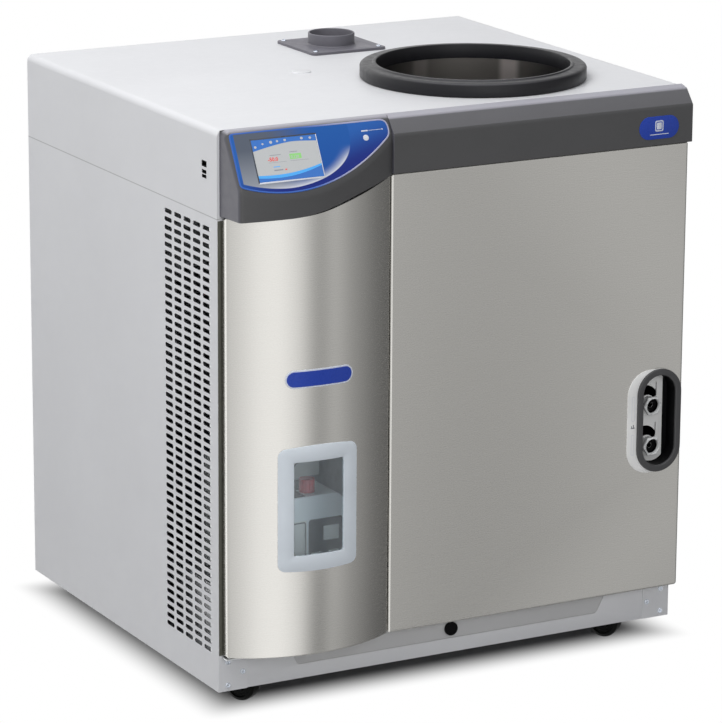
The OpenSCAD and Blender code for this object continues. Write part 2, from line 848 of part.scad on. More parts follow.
module door_magnets() {
    h = 40;
    y0 = strike_y + seat_gap;
    color([0.2, 0.2, 0.2]) placed() for (z = [door_z + 60, door_cap_z - 60 - h])
        translate([bay_w - 14, y0, z]) cube([11, frame_y - y0, h]);
}

// ---------- collector ----------

module collar() {
    top = cab_top + collar_rise;
    color([0.1, 0.1, 0.1]) placed() translate([collar_x, collar_y, 0])
        rotate_extrude($fn = 180) polygon([[rim_r + seat_gap, cab_top],
            [collar_or - 1.5, cab_top], [collar_or, cab_top + 2], [collar_or, top - 6],
            [collar_or - 1.3, top - 3.9], [collar_or - 4.5, top - 2.4], [collar_or - 7, top - 2],
            [collar_ir + 6, top - 2], [collar_ir + 5.2, top - 0.6], [collar_ir + 4, top],
            [collar_ir + 1.2, top], [collar_ir, top - 1.2], [collar_ir, cab_top + chamber_t],
            [rim_r + seat_gap, cab_top + chamber_t]]);
}

module collector_chamber() {
    stub_end = collar_x - jacket_or - 25;
    color([0.75, 0.76, 0.78]) placed() difference() {
        union() {
            translate([collar_x, collar_y, 0]) rotate_extrude($fn = 180)
                polygon([[0, chamber_floor - chamber_t], [chamber_r + chamber_t,
                    chamber_floor - chamber_t], [chamber_r + chamber_t, cab_top],
                    [rim_r, cab_top], [rim_r, cab_top + chamber_t],
                    [chamber_r, cab_top + chamber_t], [chamber_r, chamber_floor],
                    [0, chamber_floor]]);
            along_x(stub_end, collar_x - chamber_r - 0.7 - stub_end)
                translate([collar_y, hose_z]) circle(stub_r, $fn = 64);
        }
        along_x(stub_end - cut, jacket_or) translate([collar_y, hose_z])
            circle(stub_r - 2, $fn = 64);
    }
}

// Rings of a round tube that climbs round the chamber's wall
function helix(i, per_turn) = let (a = i * 360 / per_turn, z = coil_bottom
    + coil_pitch * i / per_turn) [for (b = [0 : 45 : 315])
    [(coil_r + coil_tube / 2 * cos(b)) * cos(a), (coil_r + coil_tube / 2 * cos(b)) * sin(a),
        z + coil_tube / 2 * sin(b)]];

module collector_coil() {
    per_turn = 30;
    n = coil_turns * per_turn;
    strip_r = 3;
    strip_at = coil_r + coil_tube / 2 + strip_r + 0.1;
    points = [for (i = [0 : n], p = helix(i, per_turn)) p];
    sides = [for (i = [0 : n - 1], b = [0 : 7])
        [i * 8 + b, i * 8 + (b + 1) % 8, (i + 1) * 8 + (b + 1) % 8, (i + 1) * 8 + b]];
    caps = [[for (b = [7 : -1 : 0]) b], [for (b = [0 : 7]) n * 8 + b]];
    color([0.8, 0.81, 0.83]) placed() translate([collar_x, collar_y, 0]) {
        polyhedron(points, concat(sides, caps));
        for (a = [0, 120, 240]) rotate(a) translate([strip_at, 0, chamber_floor])
            cylinder(r = strip_r, h = coil_bottom - chamber_floor + coil_pitch * coil_turns,
                $fn = 32);
    }
}

module insulation_jacket() {
    top = cab_top - sheet_t;
    color([0.85, 0.8, 0.6]) placed() difference() {
        translate([collar_x, collar_y, jacket_bottom]) difference() {
            cylinder(r = jacket_or, h = top - jacket_bottom, $fn = 180);
            translate([0, 0, foam_t]) cylinder(r = jacket_ir, h = top, $fn = 180);
        }
        along_x(collar_x - jacket_or - cut, jacket_or) translate([collar_y, hose_z])
            circle(stub_r + fit_gap, $fn = 64);
    }
}

module duct_outlet() {
    color([0.3, 0.3, 0.32]) placed() difference() {
        translate([duct_x, duct_y, cab_top]) {
            linear_extrude(duct_plate[2]) rounded(duct_plate[0], duct_plate[1], 8);
            translate([0, 0, -12]) cylinder(d = duct_od, h = 12 + duct_rise, $fn = 96);
        }
        translate([duct_x, duct_y, cab_top - 20])
            cylinder(d = duct_od - 6, h = 80, $fn = 96);
        duct_screw_spots() cylinder(r = screw_r + 0.1, h = 30, center = true, $fn = 32);
    }
}

module top_plug() {
    color("white") placed() translate([plug_x, plug_y, cab_top]) {
        cylinder(d = plug_d, h = 2, $fn = 64);
        translate([0, 0, -8]) cylinder(d = plug_d - 10, h = 9, $fn = 64);
    }
}

// ---------- pump bay ----------

module pump_bay_wall() {
    color("gainsboro") placed() along_x(post_x - sheet_t, sheet_t) difference() {
        translate([frame_y, deck_z]) square([back_y - frame_y, post_top - 30 - deck_z]);
        translate([collar_y, hose_z]) circle(hose_r + 1, $fn = 64);
        translate([0, bezel_bottom]) square([frame_y + 10, hood_h]);
    }
}

module pump_shelf() {
    x0 = 36;
    w = post_x - 10 - x0;
    y0 = 24;
    d = 430;
    color("gainsboro") placed() {
        translate([x0, y0, shelf_z - 2]) cube([w, d, 2]);
        for (x = [x0, x0 + w - 2]) translate([x, y0, deck_z]) cube([2, d, shelf_z - deck_z]);
    }
}

module pump_body() {
    base = shelf_z + pump_foot;
    color([0.2, 0.23, 0.28]) placed() difference() {
        union() {
            translate([pump_x - 75, pump_front + 20, shelf_z])
                cube([150, pump_block_y + pump_block[1] - pump_front - 20, pump_foot + 1]);
            along_y(pump_block_y, pump_block[1]) translate([pump_x, base + pump_block[2] / 2])
                rounded(pump_block[0], pump_block[2], 12);
            along_y(pump_front, pump_block_y - pump_front + 1)
                translate([pump_x, base + case_h / 2]) rounded(case_w, case_h, 16);
            along_y(pump_front - 3, 4) translate([pump_x - 32, base + 52])
                circle(15, $fn = 48);
            translate([inlet_x, collar_y, base + pump_block[2] - 1])
                cylinder(r = stub_r, h = 31, $fn = 64);
        }
        translate([inlet_x, collar_y, base + pump_block[2] - 10])
            cylinder(r = stub_r - 3, h = 60, $fn = 64);
        translate([knob_x, knob_y, base + case_h - 6.5])
            cylinder(r = 4 + run_gap, h = 20, $fn = 48);
    }
}

module pump_motor() {
    ribs = 24;
    y0 = pump_block_y + pump_block[1];
    color([0.16, 0.2, 0.27]) placed() translate([pump_x, 0, pump_axis_z]) {
        along_y(y0, motor_l) circle(motor_r, $fn = 96);
        for (i = [0 : ribs - 1]) rotate([0, i * 360 / ribs, 0])
            translate([-1.2, y0 + 15, motor_r - 2]) cube([2.4, motor_l - 60, 8]);
        translate([-35, y0 + 20, motor_r - 3]) cube([70, 80, 30]);
    }
}

// Gas ballast knob of the vacuum pump
module ballast_knob() {
    z = shelf_z + pump_foot + case_h;
    color([0.75, 0.1, 0.12]) placed() translate([knob_x, knob_y, 0]) difference() {
        union() {
            translate([0, 0, z - 6]) cylinder(r = 4, h = 8, $fn = 48);
            translate([0, 0, z + seat_gap]) cylinder(r = 12, h = 21, $fn = 64);
        }
        for (a = [0 : 45 : 315]) rotate(a) translate([13.6, 0, z + 4])
            cylinder(r = 2.8, h = 20, $fn = 24);
    }
}

module vacuum_hose_solid(r, extra) {
    bend = 60;
    foot_z = shelf_z + pump_foot + pump_block[2] + 10;
    end_x = collar_x - jacket_or - 5;
    translate([inlet_x, collar_y, foot_z - extra])
        cylinder(r = r, h = hose_z - bend - foot_z + extra, $fn = 64);
    translate([inlet_x + bend, collar_y, hose_z - bend]) rotate([90, 0, 0]) rotate(90)
        rotate_extrude(angle = 90, $fn = 96) translate([bend, 0])
            circle(r, $fn = 64);
    along_x(inlet_x + bend, end_x - inlet_x - bend + extra) translate([collar_y, hose_z])
        circle(r, $fn = 64);
}

module vacuum_hose() {
    color([0.15, 0.15, 0.15]) placed() difference() {
        vacuum_hose_solid(hose_r, 0);
        vacuum_hose_solid(stub_r + fit_gap, cut);
    }
}

module exhaust_filter() {
    z = shelf_z + pump_foot + pump_block[2];
    color([0.85, 0.85, 0.83]) placed() translate([pump_x - 32, pump_block_y + 52, z]) {
        cylinder(r = 12, h = 20, $fn = 48);
        translate([0, 0, 18]) cylinder(r = 32, h = 120, $fn = 64);
    }
}

// ---------- refrigeration ----------

module compressor() {
    lift = 14;
    color([0.08, 0.08, 0.09]) placed() translate([comp_x, comp_y, deck_z]) {
        translate([0, 0, lift]) rotate_extrude($fn = 96) intersection() {
            translate([0, comp_h / 2]) rounded(2 * comp_r, comp_h, 40);
            square([comp_r, comp_h]);
        }
        translate([-105, -70, lift - 4]) cube([210, 140, 5]);
        for (x = [-90, 90], y = [-55, 55]) translate([x, y, 0])
            cylinder(r = 11, h = lift - 3, $fn = 32);
    }
}

module condenser() {
    fins = 30;
    w = coil_block[0];
    pitch = (w - 20) / fins;
    color([0.7, 0.71, 0.73]) placed() difference() {
        union() {
            translate([fan_x - w / 2, condenser_y, fan_z - coil_block[2] / 2])
                cube(coil_block);
            for (x = [fan_x - w / 2, fan_x + w / 2 - 3]) translate([x, condenser_y, deck_z])
                cube([3, coil_block[1], fan_z - deck_z]);
        }
        for (i = [0 : fins - 1])
            translate([fan_x - w / 2 + 10 + (i + 0.5) * pitch - pitch / 3, condenser_y - cut,
                fan_z - coil_block[2] / 2 + 10])
                cube([pitch * 2 / 3, 22, coil_block[2] - 20]);
    }
}

module fan_shroud() {
    half = coil_block[0] / 2;
    wall = 2;
    color([0.25, 0.25, 0.27]) placed() difference() {
        translate([fan_x - half, back_y - shroud_d, fan_z - half])
            cube([2 * half, shroud_d, 2 * half]);
        translate([fan_x - half + wall, back_y - shroud_d - cut, fan_z - half + wall])
            cube([2 * (half - wall), shroud_d - 40 + cut, 2 * (half - wall)]);
        translate([fan_x - half + wall, back_y - 38, fan_z - half + wall])
            cube([2 * (half - wall), 38 + cut, 2 * (half - wall)]);
        along_y(back_y - shroud_d, shroud_d) translate([fan_x, fan_z])
            circle(fan_r + 4, $fn = 128);
    }
}

module fan_motor() {
    color([0.12, 0.12, 0.13]) placed() translate([fan_x, back_y, fan_z]) {
        along_y(-60, 26) circle(35, $fn = 64);
        along_y(-35, 23) circle(4, $fn = 48);
        for (a = [30, 150, 270]) rotate([0, a, 0]) translate([30, -44, -6])
            cube([fan_r - 14, 4, 12]);
    }
}

module fan_rotor() {
    blades = 5;
    color([0.3, 0.3, 0.32]) placed() translate([fan_x, back_y, fan_z]) difference() {
        union() {
            along_y(-32, 20) circle(30, $fn = 64);
            for (i = [0 : blades - 1]) rotate([0, i * 360 / blades, 0]) translate([25, -22, 0])
                rotate([30, 0, 0]) translate([0, -1, -20]) cube([fan_r - 30, 2, 40]);
        }
        along_y(-40, 40) circle(4 + run_gap, $fn = 48);
    }
}

module refrigerant_lines() {
    comp_top = deck_z + 14 + comp_h;
    cond_top = fan_z + coil_block[2] / 2;
    cond_mid = condenser_y + coil_block[1] / 2;
    hot_z = cond_top + 40;
    liquid_x = fan_x + 100;
    suction_x = comp_x + 4;
    suction_y = collar_y + 60;
    color([0.72, 0.45, 0.3]) placed() {
        pipe([[comp_x + 40, comp_y, comp_top], [comp_x + 40, comp_y, hot_z],
            [comp_x + 40, cond_mid, hot_z], [comp_x + 40, cond_mid, cond_top]], line_r);
        pipe([[liquid_x, cond_mid, cond_top], [liquid_x, cond_mid, hot_z + 20],
            [liquid_x, suction_y, hot_z + 20], [liquid_x, suction_y, jacket_bottom]], line_r);
        pipe([[suction_x, suction_y, jacket_bottom], [suction_x, suction_y, hot_z - 30],
            [suction_x, comp_y, hot_z - 30], [suction_x, comp_y, comp_top]], line_r + 2);
    }
}

// ---------- electrical parts ----------

module electrical_box() {
    color([0.75, 0.76, 0.78]) placed() difference() {
        translate([box_x, back_y - box_size[1], box_z]) cube(box_size);
        translate([box_x + sheet_t, back_y - box_size[1] + sheet_t, box_z + sheet_t])
            cube([box_size[0] - 2 * sheet_t, box_size[1], box_size[2] - 2 * sheet_t]);
    }
}

module power_inlet() {
    face_y = back_y + sheet_t;
    color([0.07, 0.07, 0.07]) placed() difference() {
        union() {
            along_y(face_y, 2) translate(inlet_pos) rounded(38, 68, 4);
            along_y(face_y - 30, 31) translate(inlet_pos) square([30, 60], center = true);
        }
        // rocker's well and its pivot holes
        along_y(face_y - 14, 20) translate([inlet_pos[0], rocker_z]) square([22, 27], center = true);
        along_x(inlet_pos[0] - 13, 26) translate([rocker_y, rocker_z])
            circle(1.5 + run_gap, $fn = 32);
        // appliance inlet
        along_y(face_y - 18, 24) translate([inlet_pos[0], inlet_pos[1] - 15])
            rounded(24, 17, 3);
    }
}

module power_rocker() {
    color([0.12, 0.12, 0.12]) placed() translate([inlet_pos[0], rocker_y, rocker_z])
        rotate([-8, 0, 0]) {
            translate([-10.5, -4, -12]) cube([21, 9, 24]);
            along_x(-12.5, 25) circle(1.5, $fn = 32);
        }
}

// ---------- casters ----------

module caster_plates() {
    color("silver") placed() for (s = caster_spots)
        translate([s[0], s[1], caster_h - plate_t]) difference() {
            linear_extrude(plate_t) rounded(caster_plate_w, caster_plate_w, 5);
            translate([0, 0, -cut]) cylinder(r = king_r + run_gap, h = plate_t + 2 * cut, $fn = 48);
        }
}

// Places its children at a caster: the swivel axis is z, and the wheel trails along +x
module at_caster(i) {
    s = caster_spots[i];
    placed() translate([s[0], s[1], 0]) rotate(s[2]) children();
}

// Fork with its king pin and riveted axle
module caster_fork(i) {
    crown_t = 3;
    crown_z = caster_h - plate_t - seat_gap - crown_t;
    inside = wheel_w / 2 + 1;
    color([0.12, 0.12, 0.12]) at_caster(i) {
        translate([0, 0, crown_z]) cylinder(r = crown_r, h = crown_t, $fn = 64);
        translate([0, 0, crown_z]) cylinder(r = king_r, h = caster_h - crown_z, $fn = 48);
        for (y = [-inside - leg_t, inside]) along_y(y, leg_t) {
            polygon([[-9, crown_z + 1], [15, crown_z + 1], [trail + 9, wheel_d / 2],
                [trail - 9, wheel_d / 2]]);
            translate([trail, wheel_d / 2]) circle(9, $fn = 48);
        }
        along_y(-inside - leg_t - 2, 2 * (inside + leg_t + 2))
            translate([trail, wheel_d / 2]) circle(axle_r, $fn = 48);
        for (y = [-inside - leg_t - 2, inside + leg_t]) along_y(y, 2)
            translate([trail, wheel_d / 2]) circle(axle_r + 2.5, $fn = 48);
    }
}

module caster_wheel(i) {
    r = wheel_d / 2;
    w = wheel_w / 2;
    hub = r / 2;       // outer radius of the raised hub face
    dish = 2;          // depth of the dished disc between hub and tread
    soft = 5;          // width of the tread's rounded shoulder
    color([0.1, 0.1, 0.1]) at_caster(i) translate([trail, 0, r]) rotate([90, 0, 0])
        rotate_extrude($fn = 96) polygon([[axle_r + run_gap, -w], [hub, -w],
            [hub + dish, -w + dish], [r - 8, -w + dish], [r - 6, -w], [r - soft, -w],
            [r - 1.4, -w + 1.6], [r, -w + soft], [r, w - soft], [r - 1.4, w - 1.6],
            [r - soft, w], [r - 6, w], [r - 8, w - dish], [hub + dish, w - dish], [hub, w],
            [axle_r + run_gap, w]]);
}

base_pan();
inner_frame();
kick_plate();
kick_plug();
left_side_panel();
right_side_panel();
back_panel();
hood();
small_screws();
control_bezel();
band_bezel();
display_overlay();
touchscreen();
control_board();
band_emblem();
side_ports();
front_panel();
port_label();
port_ring();
port_recess();
port_bracket();
drain_fittings();
drain_tubes();
pump_door();
door_badge();
window_frame();
window_pane();
hinge_brackets();
door_magnets();
collar();
collector_chamber();
collector_coil();
insulation_jacket();
duct_outlet();
top_plug();
pump_bay_wall();
pump_shelf();
pump_body();
pump_motor();
ballast_knob();
vacuum_hose();
exhaust_filter();
compressor();
condenser();
fan_shroud();
fan_motor();
fan_rotor();
refrigerant_lines();
electrical_box();
power_inlet();
power_rocker();
caster_plates();
caster_fork(0);  // front_left_fork
caster_fork(1);  // front_right_fork
caster_fork(2);  // rear_left_fork
caster_fork(3);  // rear_right_fork
caster_wheel(0);  // front_left_wheel
caster_wheel(1);  // front_right_wheel
caster_wheel(2);  // rear_left_wheel
caster_wheel(3);  // rear_right_wheel
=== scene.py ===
import bpy, bmesh, math
from math import sin, cos, sqrt, radians, pi, hypot
from mathutils import Vector, Matrix
from mathutils.geometry import tessellate_polygon

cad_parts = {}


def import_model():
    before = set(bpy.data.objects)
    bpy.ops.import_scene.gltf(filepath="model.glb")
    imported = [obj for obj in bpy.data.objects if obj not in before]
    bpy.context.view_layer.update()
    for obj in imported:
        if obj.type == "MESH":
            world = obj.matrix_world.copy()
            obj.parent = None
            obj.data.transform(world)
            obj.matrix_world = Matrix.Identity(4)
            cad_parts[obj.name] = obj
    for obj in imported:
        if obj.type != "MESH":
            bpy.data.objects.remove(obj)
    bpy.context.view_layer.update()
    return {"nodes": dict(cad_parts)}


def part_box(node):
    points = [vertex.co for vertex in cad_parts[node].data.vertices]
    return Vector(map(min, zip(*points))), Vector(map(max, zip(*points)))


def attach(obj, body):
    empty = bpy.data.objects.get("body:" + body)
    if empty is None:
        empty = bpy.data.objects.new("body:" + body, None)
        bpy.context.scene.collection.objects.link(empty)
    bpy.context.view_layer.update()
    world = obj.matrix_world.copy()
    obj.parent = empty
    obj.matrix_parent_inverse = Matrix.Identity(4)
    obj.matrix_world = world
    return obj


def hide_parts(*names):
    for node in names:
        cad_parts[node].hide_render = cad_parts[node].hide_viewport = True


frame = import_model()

NODES = frame["nodes"]
S = bpy.context.scene

# ---------------- materials


def node(t, kind):
    return t.nodes.new("ShaderNode" + kind)


def link(t, output, socket):
    t.links.new(output, socket)


def graph(name, base, rough, metal=0.0, **sockets):
    """A Principled material: (material, tree, shader, maker of noise outputs)."""
    m = bpy.data.materials.new(name)
    m.use_nodes = True
    t = m.node_tree
    b = t.nodes["Principled BSDF"]
    b.inputs["Base Color"].default_value = (*base, 1)
    b.inputs["Roughness"].default_value = rough
    b.inputs["Metallic"].default_value = metal
    for k, v in sockets.items():
        b.inputs[k.replace("_", " ")].default_value = v
    co = node(t, "TexCoord")

    def noise(scale, detail=2.0, rough_n=0.5):
        mp = node(t, "Mapping")
        mp.inputs["Scale"].default_value = scale if hasattr(scale, "__len__") else (scale,) * 3
        link(t, co.outputs["Object"], mp.inputs["Vector"])
        n = node(t, "TexNoise")
        n.inputs["Scale"].default_value = 1.0
        n.inputs["Detail"].default_value = detail
        n.inputs["Roughness"].default_value = rough_n
        link(t, mp.outputs["Vector"], n.inputs["Vector"])
        return n.outputs["Fac"]

    return m, t, b, noise


def span(t, fac, lo, hi, a=0.3, b=0.7, smooth=False):
    """Maps fac between a and b onto lo to hi."""
    r = node(t, "MapRange")
    if smooth:
        r.interpolation_type = "SMOOTHSTEP"
    for k, v in (("From Min", a), ("From Max", b), ("To Min", lo), ("To Max", hi)):
        r.inputs[k].default_value = v
    link(t, fac, r.inputs["Value"])
    return r.outputs["Result"]


def calc(t, op, *args):
    n = node(t, "Math")
    n.operation = op
    for s, a in zip(n.inputs, args):
        if isinstance(a, (int, float)):
            s.default_value = a
        else:
            link(t, a, s)
    return n.outputs[0]


def tint(t, fac, c1, c2):
    """Mixes two colours, each a tuple or an output."""
    x = node(t, "Mix")
    x.data_type = "RGBA"
    for i, c in ((6, c1), (7, c2)):
        if isinstance(c, tuple):
            x.inputs[i].default_value = (*c, 1)
        else:
            link(t, c, x.inputs[i])
    link(t, fac, x.inputs[0])
    return x.outputs[2]


def bump(t, b, *layers):
    """layers: (height output, strength, distance in metres)."""
    last = None
    for fac, strength, dist in layers:
        n = node(t, "Bump")
        n.inputs["Strength"].default_value = strength
        n.inputs["Distance"].default_value = dist
        link(t, fac, n.inputs["Height"])
        if last:
            link(t, last, n.inputs["Normal"])
        last = n.outputs["Normal"]
    link(t, last, b.inputs["Normal"])


def apart(t, vector):
    """The x, y and z of a vector output, as three outputs."""
    n = node(t, "SeparateXYZ")
    link(t, vector, n.inputs[0])
    return n.outputs


def spot(t):
    """Where a point lies, in metres."""
    return apart(t, node(t, "TexCoord").outputs["Object"])


def facing(t):
    """Which way a surface faces."""
    return apart(t, node(t, "NewGeometry").outputs["Normal"])


def coloured(m):
    """The tree, shader and present colour output of a finished material."""
    t = m.node_tree
    b = t.nodes["Principled BSDF"]
    return t, b, b.inputs["Base Color"].links[0].from_socket


def mix(t, fac, a, b):
    """Mixes two shaders."""
    n = node(t, "MixShader")
    for i, x in enumerate((fac, a, b)):
        link(t, x, n.inputs[i])
    return n.outputs[0]


def dye(t, b, colour):
    """Gives a shader its base colour."""
    link(t, colour, b.inputs["Base Color"])


def shades(base, spread):
    """A darker and a paler version of a colour."""
    return tuple(c * (1 - spread) for c in base), tuple(min(1, c * (1 + spread)) for c in base)


def paint(name, base, rough=0.42, peel=0.35, spread=0.02, **sockets):
    m, t, b, noise = graph(name, base, rough, **sockets)
    dye(t, b, tint(t, span(t, noise(5, 3), 0, 1), *shades(base, spread)))
    link(t, span(t, noise(60, 3), rough - 0.05, rough + 0.06), b.inputs["Roughness"])
    bump(t, b, (noise(700, 2), peel, 0.00012), (noise(2600, 1), peel * 0.5, 0.00004))
    return m


def side_paint_with_painted_shade():
    """The cabinet paint of hood and side sheets, with painted shade on the slots' cut walls and a dark
    line along their seam.
    """
    m = paint("side_paint_with_painted_shade", (0.74, 0.745, 0.765), Specular_IOR_Level=0.3)
    t, b, was = coloured(m)
    nx, at = facing(t)[0], spot(t)
    beside = calc(t, "ABSOLUTE", at[0])
    wall = calc(t, "MULTIPLY", calc(t, "LESS_THAN", calc(t, "ABSOLUTE", nx), 0.5),
                calc(t, "GREATER_THAN", beside, SLOT_X))
    inner = calc(t, "MULTIPLY", calc(t, "LESS_THAN", at[2], SLOTS_TOP),
                 calc(t, "LESS_THAN", calc(t, "ABSOLUTE", at[1]), SLOTS_REACH))
    off = calc(t, "ABSOLUTE", calc(t, "SUBTRACT", at[2], SEAM))
    line = calc(t, "MULTIPLY", span(t, off, 0.45, 0, 0.0004, 0.0011, True),
                calc(t, "GREATER_THAN", beside, 0.4))
    # painted shade: inside the slot field, walls that face neither left nor right are painted near
    # black
    painted_shade = tint(t, calc(t, "MULTIPLY", wall, inner), was, (0.03, 0.03, 0.03))
    dye(t, b, tint(t, line, painted_shade, (0.1, 0.1, 0.1)))
    return m


def plastic(name, base, rough=0.45, grain=1500, depth=0.3, **sockets):
    m, t, b, noise = graph(name, base, rough, **sockets)
    dye(t, b, tint(t, span(t, noise(14, 4), 0, 1), *shades(base, 0.05)))
    link(t, span(t, noise(90, 3), rough - 0.06, rough + 0.06), b.inputs["Roughness"])
    v = node(t, "TexVoronoi")
    v.inputs["Scale"].default_value = grain
    co = node(t, "TexCoord")
    link(t, co.outputs["Object"], v.inputs["Vector"])
    bump(t, b, (v.outputs["Distance"], depth, 0.00012), (noise(220, 2), depth * 0.35, 0.0002))
    return m


def plastic_with_painted_sheen(name, base):
    """Moulded plastic whose level tops and left sides are painted paler than its front: a painted
    highlight of the light they catch.
    """
    m = plastic(name, base, 0.42, 1400, 0.3)
    t, b, was = coloured(m)
    normal = facing(t)
    # painted highlight: left-facing sides, and then level tops, get a paler colour
    side = tint(t, span(t, normal[0], 1, 0, -0.95, -0.6), was, (0.088, 0.087, 0.105))
    dye(t, b, tint(t, span(t, normal[2], 0, 1, 0.60, 0.97), side, (0.37, 0.365, 0.41)))
    return m


def metal(name, base, rough=0.3, grain=(40, 40, 1800), depth=0.25, spread=0.10,
          mottle=(9, 9, 120), uneven=0.15, **sockets):
    m, t, b, noise = graph(name, base, rough, 1.0, **sockets)
    fine = noise(grain, 3, 0.6)
    dye(t, b, tint(t, span(t, noise(mottle, 4, 0.6), 0, 1), *shades(base, spread)))
    link(t, span(t, fine, rough - uneven / 2, rough + uneven / 2), b.inputs["Roughness"])
    bump(t, b, (fine, depth, 0.00005))
    return m


def chamber():
    """The drawn steel of the collector chamber, with upright bands of painted reflection and painted
    shade away from them.
    """
    m = metal("chamber_steel", (0.34, 0.32, 0.30), 0.38, (60, 60, 900), 0.005, 0.02,
              (12, 12, 3), 0.04)
    t, b, was = coloured(m)
    at = spot(t)
    turn = calc(t, "ARCTAN2", calc(t, "SUBTRACT", at[1], CHAMBER[1]),
                calc(t, "SUBTRACT", at[0], CHAMBER[0]))

    def band(angle, half):
        off = calc(t, "ABSOLUTE", calc(t, "SUBTRACT", turn, radians(angle)))
        return span(t, off, 1, 0, radians(half * 0.35), radians(half), True)

    # painted shade away from the middle of the far wall, then two upright painted reflections, a faint
    # one and a bright one
    painted_dark_sides = tint(t, band(64, 62), (0.10, 0.10, 0.10), was)
    low = tint(t, calc(t, "MULTIPLY", band(93, 7), 0.35), painted_dark_sides, (0.95, 0.88, 0.85))
    dye(t, b, tint(t, band(38, 8), low, (0.98, 0.90, 0.87)))
    return m


def face_uv(t):
    """The two coordinates of the slanted control face, in mm, as node outputs."""
    at = spot(t)
    u = calc(t, "MULTIPLY_ADD", at[0], 1000.0, MID_X)
    v = calc(t, "MULTIPLY", calc(t, "MULTIPLY_ADD", at[2], 1000.0, -FACE_TOP), 1 / FC)
    return u, v


def film():
    """Printed film: a blue field, and inside it a leaf that goes from grey to silver."""
    m, t, b, noise = graph("blue_film", (0.02, 0.09, 0.4), 0.28, Specular_IOR_Level=0.2)
    u, v = face_uv(t)
    # distance from the leaf's centre, 1 at its edge
    cu, ru, cv, rv, power = 70, 138, -18, 76, 2.3
    du, dv = (calc(t, "POWER", calc(t, "ABSOLUTE", calc(t, "MULTIPLY_ADD", x, 1 / r, -c / r)), power)
              for x, r, c in ((u, ru, cu), (v, rv, cv)))
    r = calc(t, "POWER", calc(t, "ADD", du, dv), 1 / power)
    # distance from the bulge's axis, in plan: the leaf stops short of the film's edge
    px = calc(t, "SUBTRACT", u, AXIS_X)
    py = calc(t, "MULTIPLY_ADD", v, FS, FACE_Y - AXIS_Y)
    away = calc(t, "SQRT", calc(t, "ADD", calc(t, "MULTIPLY", px, px), calc(t, "MULTIPLY", py, py)))
    held = calc(t, "MULTIPLY", span(t, away, 1, 0, 493.6, 494.2), span(t, u, 0, 1, 17.6, 18.2))
    low = calc(t, "MULTIPLY_ADD", u, 0.25, calc(t, "MULTIPLY", v, -1.0))
    sky = tint(t, span(t, low, 0, 1, 62, 118, True), (0.028, 0.13, 0.46), (0.014, 0.028, 0.22))
    inner = tint(t, span(t, v, 0, 1, -100, -5), (0.013, 0.083, 0.37), (0.020, 0.115, 0.42))
    inside = calc(t, "MULTIPLY", span(t, r, 1, 0, 0.99, 1.0, True), held)
    grey = tint(t, span(t, v, 0, 1, -86, -30), (0.31, 0.335, 0.38), (0.11, 0.13, 0.17))
    left = span(t, u, 1, 0, 60, 158, True)
    body = tint(t, left, inner, grey)
    ring = span(t, r, 0, 1, 0.84, 0.99)
    rim = calc(t, "MULTIPLY", calc(t, "MULTIPLY", ring, ring),
               calc(t, "MULTIPLY", span(t, v, 1, 0, -62, -34, True), span(t, u, 0.35, 1, 10, 70)))
    body = tint(t, rim, body, (0.70, 0.72, 0.80))
    dye(t, b, tint(t, inside, sky, body))
    bump(t, b, (noise(2400, 2), 0.1, 0.00003))
    return m


def fade(name, base, other, u0, u1):
    """A finish that goes from one colour to another across the control face."""
    m, t, b, noise = graph(name, base, 0.3)
    u = face_uv(t)[0]
    dye(t, b, tint(t, span(t, u, 0, 1, u0, u1, True), base, other))
    bump(t, b, (noise(2400, 2), 0.1, 0.00003))
    return m


def glow(name, colour, strength=0.4):
    m, t, b, noise = graph(name, colour, 0.2, Emission_Strength=strength)
    b.inputs["Emission Color"].default_value = (*colour, 1)
    dye(t, b, tint(t, span(t, noise(900, 2), 0, 1), *shades(colour, 0.04)))
    return m


# in metres: the seam between hood and side sheets, the slots' cut walls, the chamber's axis
SEAM = 0.7665
SLOT_X, SLOTS_TOP, SLOTS_REACH = 0.4022, 0.745, 0.29
CHAMBER = (0.1418, -0.11455)
# in cabinet millimetres: x from the left, y from the front sheet, z from the floor
MID_X, MID_Y = 404, 310.25
TOP = 900.4                     # the hood's top
TILT = radians(27.9)            # the slanted control face, from upright, and its upper edge
FS, FC = sin(TILT), cos(TILT)
FACE_Y, FACE_TOP = -14, 898.4
# the control bezel: the axis and radius of its bulging front, and its lower edge, which is level
# up to LOW_X, then an arc, then straight
AXIS_X, AXIS_Y, BULGE = 95, 436.5, 500
LOW_X, LOW_Z, LOW_R, LOW_TURN = 90, 771.0, 285, radians(15.4)
SHEETS_LOW = 89                 # lower edge of the pump door and the front panel
DOOR = (148, 189, 250)          # the pump door's arc: x, y and radius
DOOR_L, DOOR_R = 6.5, 277.3
PANEL_L, PANEL_R, PANEL_TOP = 279, 807.5, 813.6
PANE = (140.3, 321.8)           # window's centre
PORT = (763.75, 368.5)
FITTING_X, FITTINGS = 755.55, (391.5, 325.5)
BAND_FRONT, EMBLEM_X = -34, 746
DUCT = (471.5, 528.85)
PUMP_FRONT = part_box("pump_body")[0][1] * 1000 + MID_Y + 3
STEEL = (0.53, 0.52, 0.495)
DULL = {"Specular_IOR_Level": 0.06}
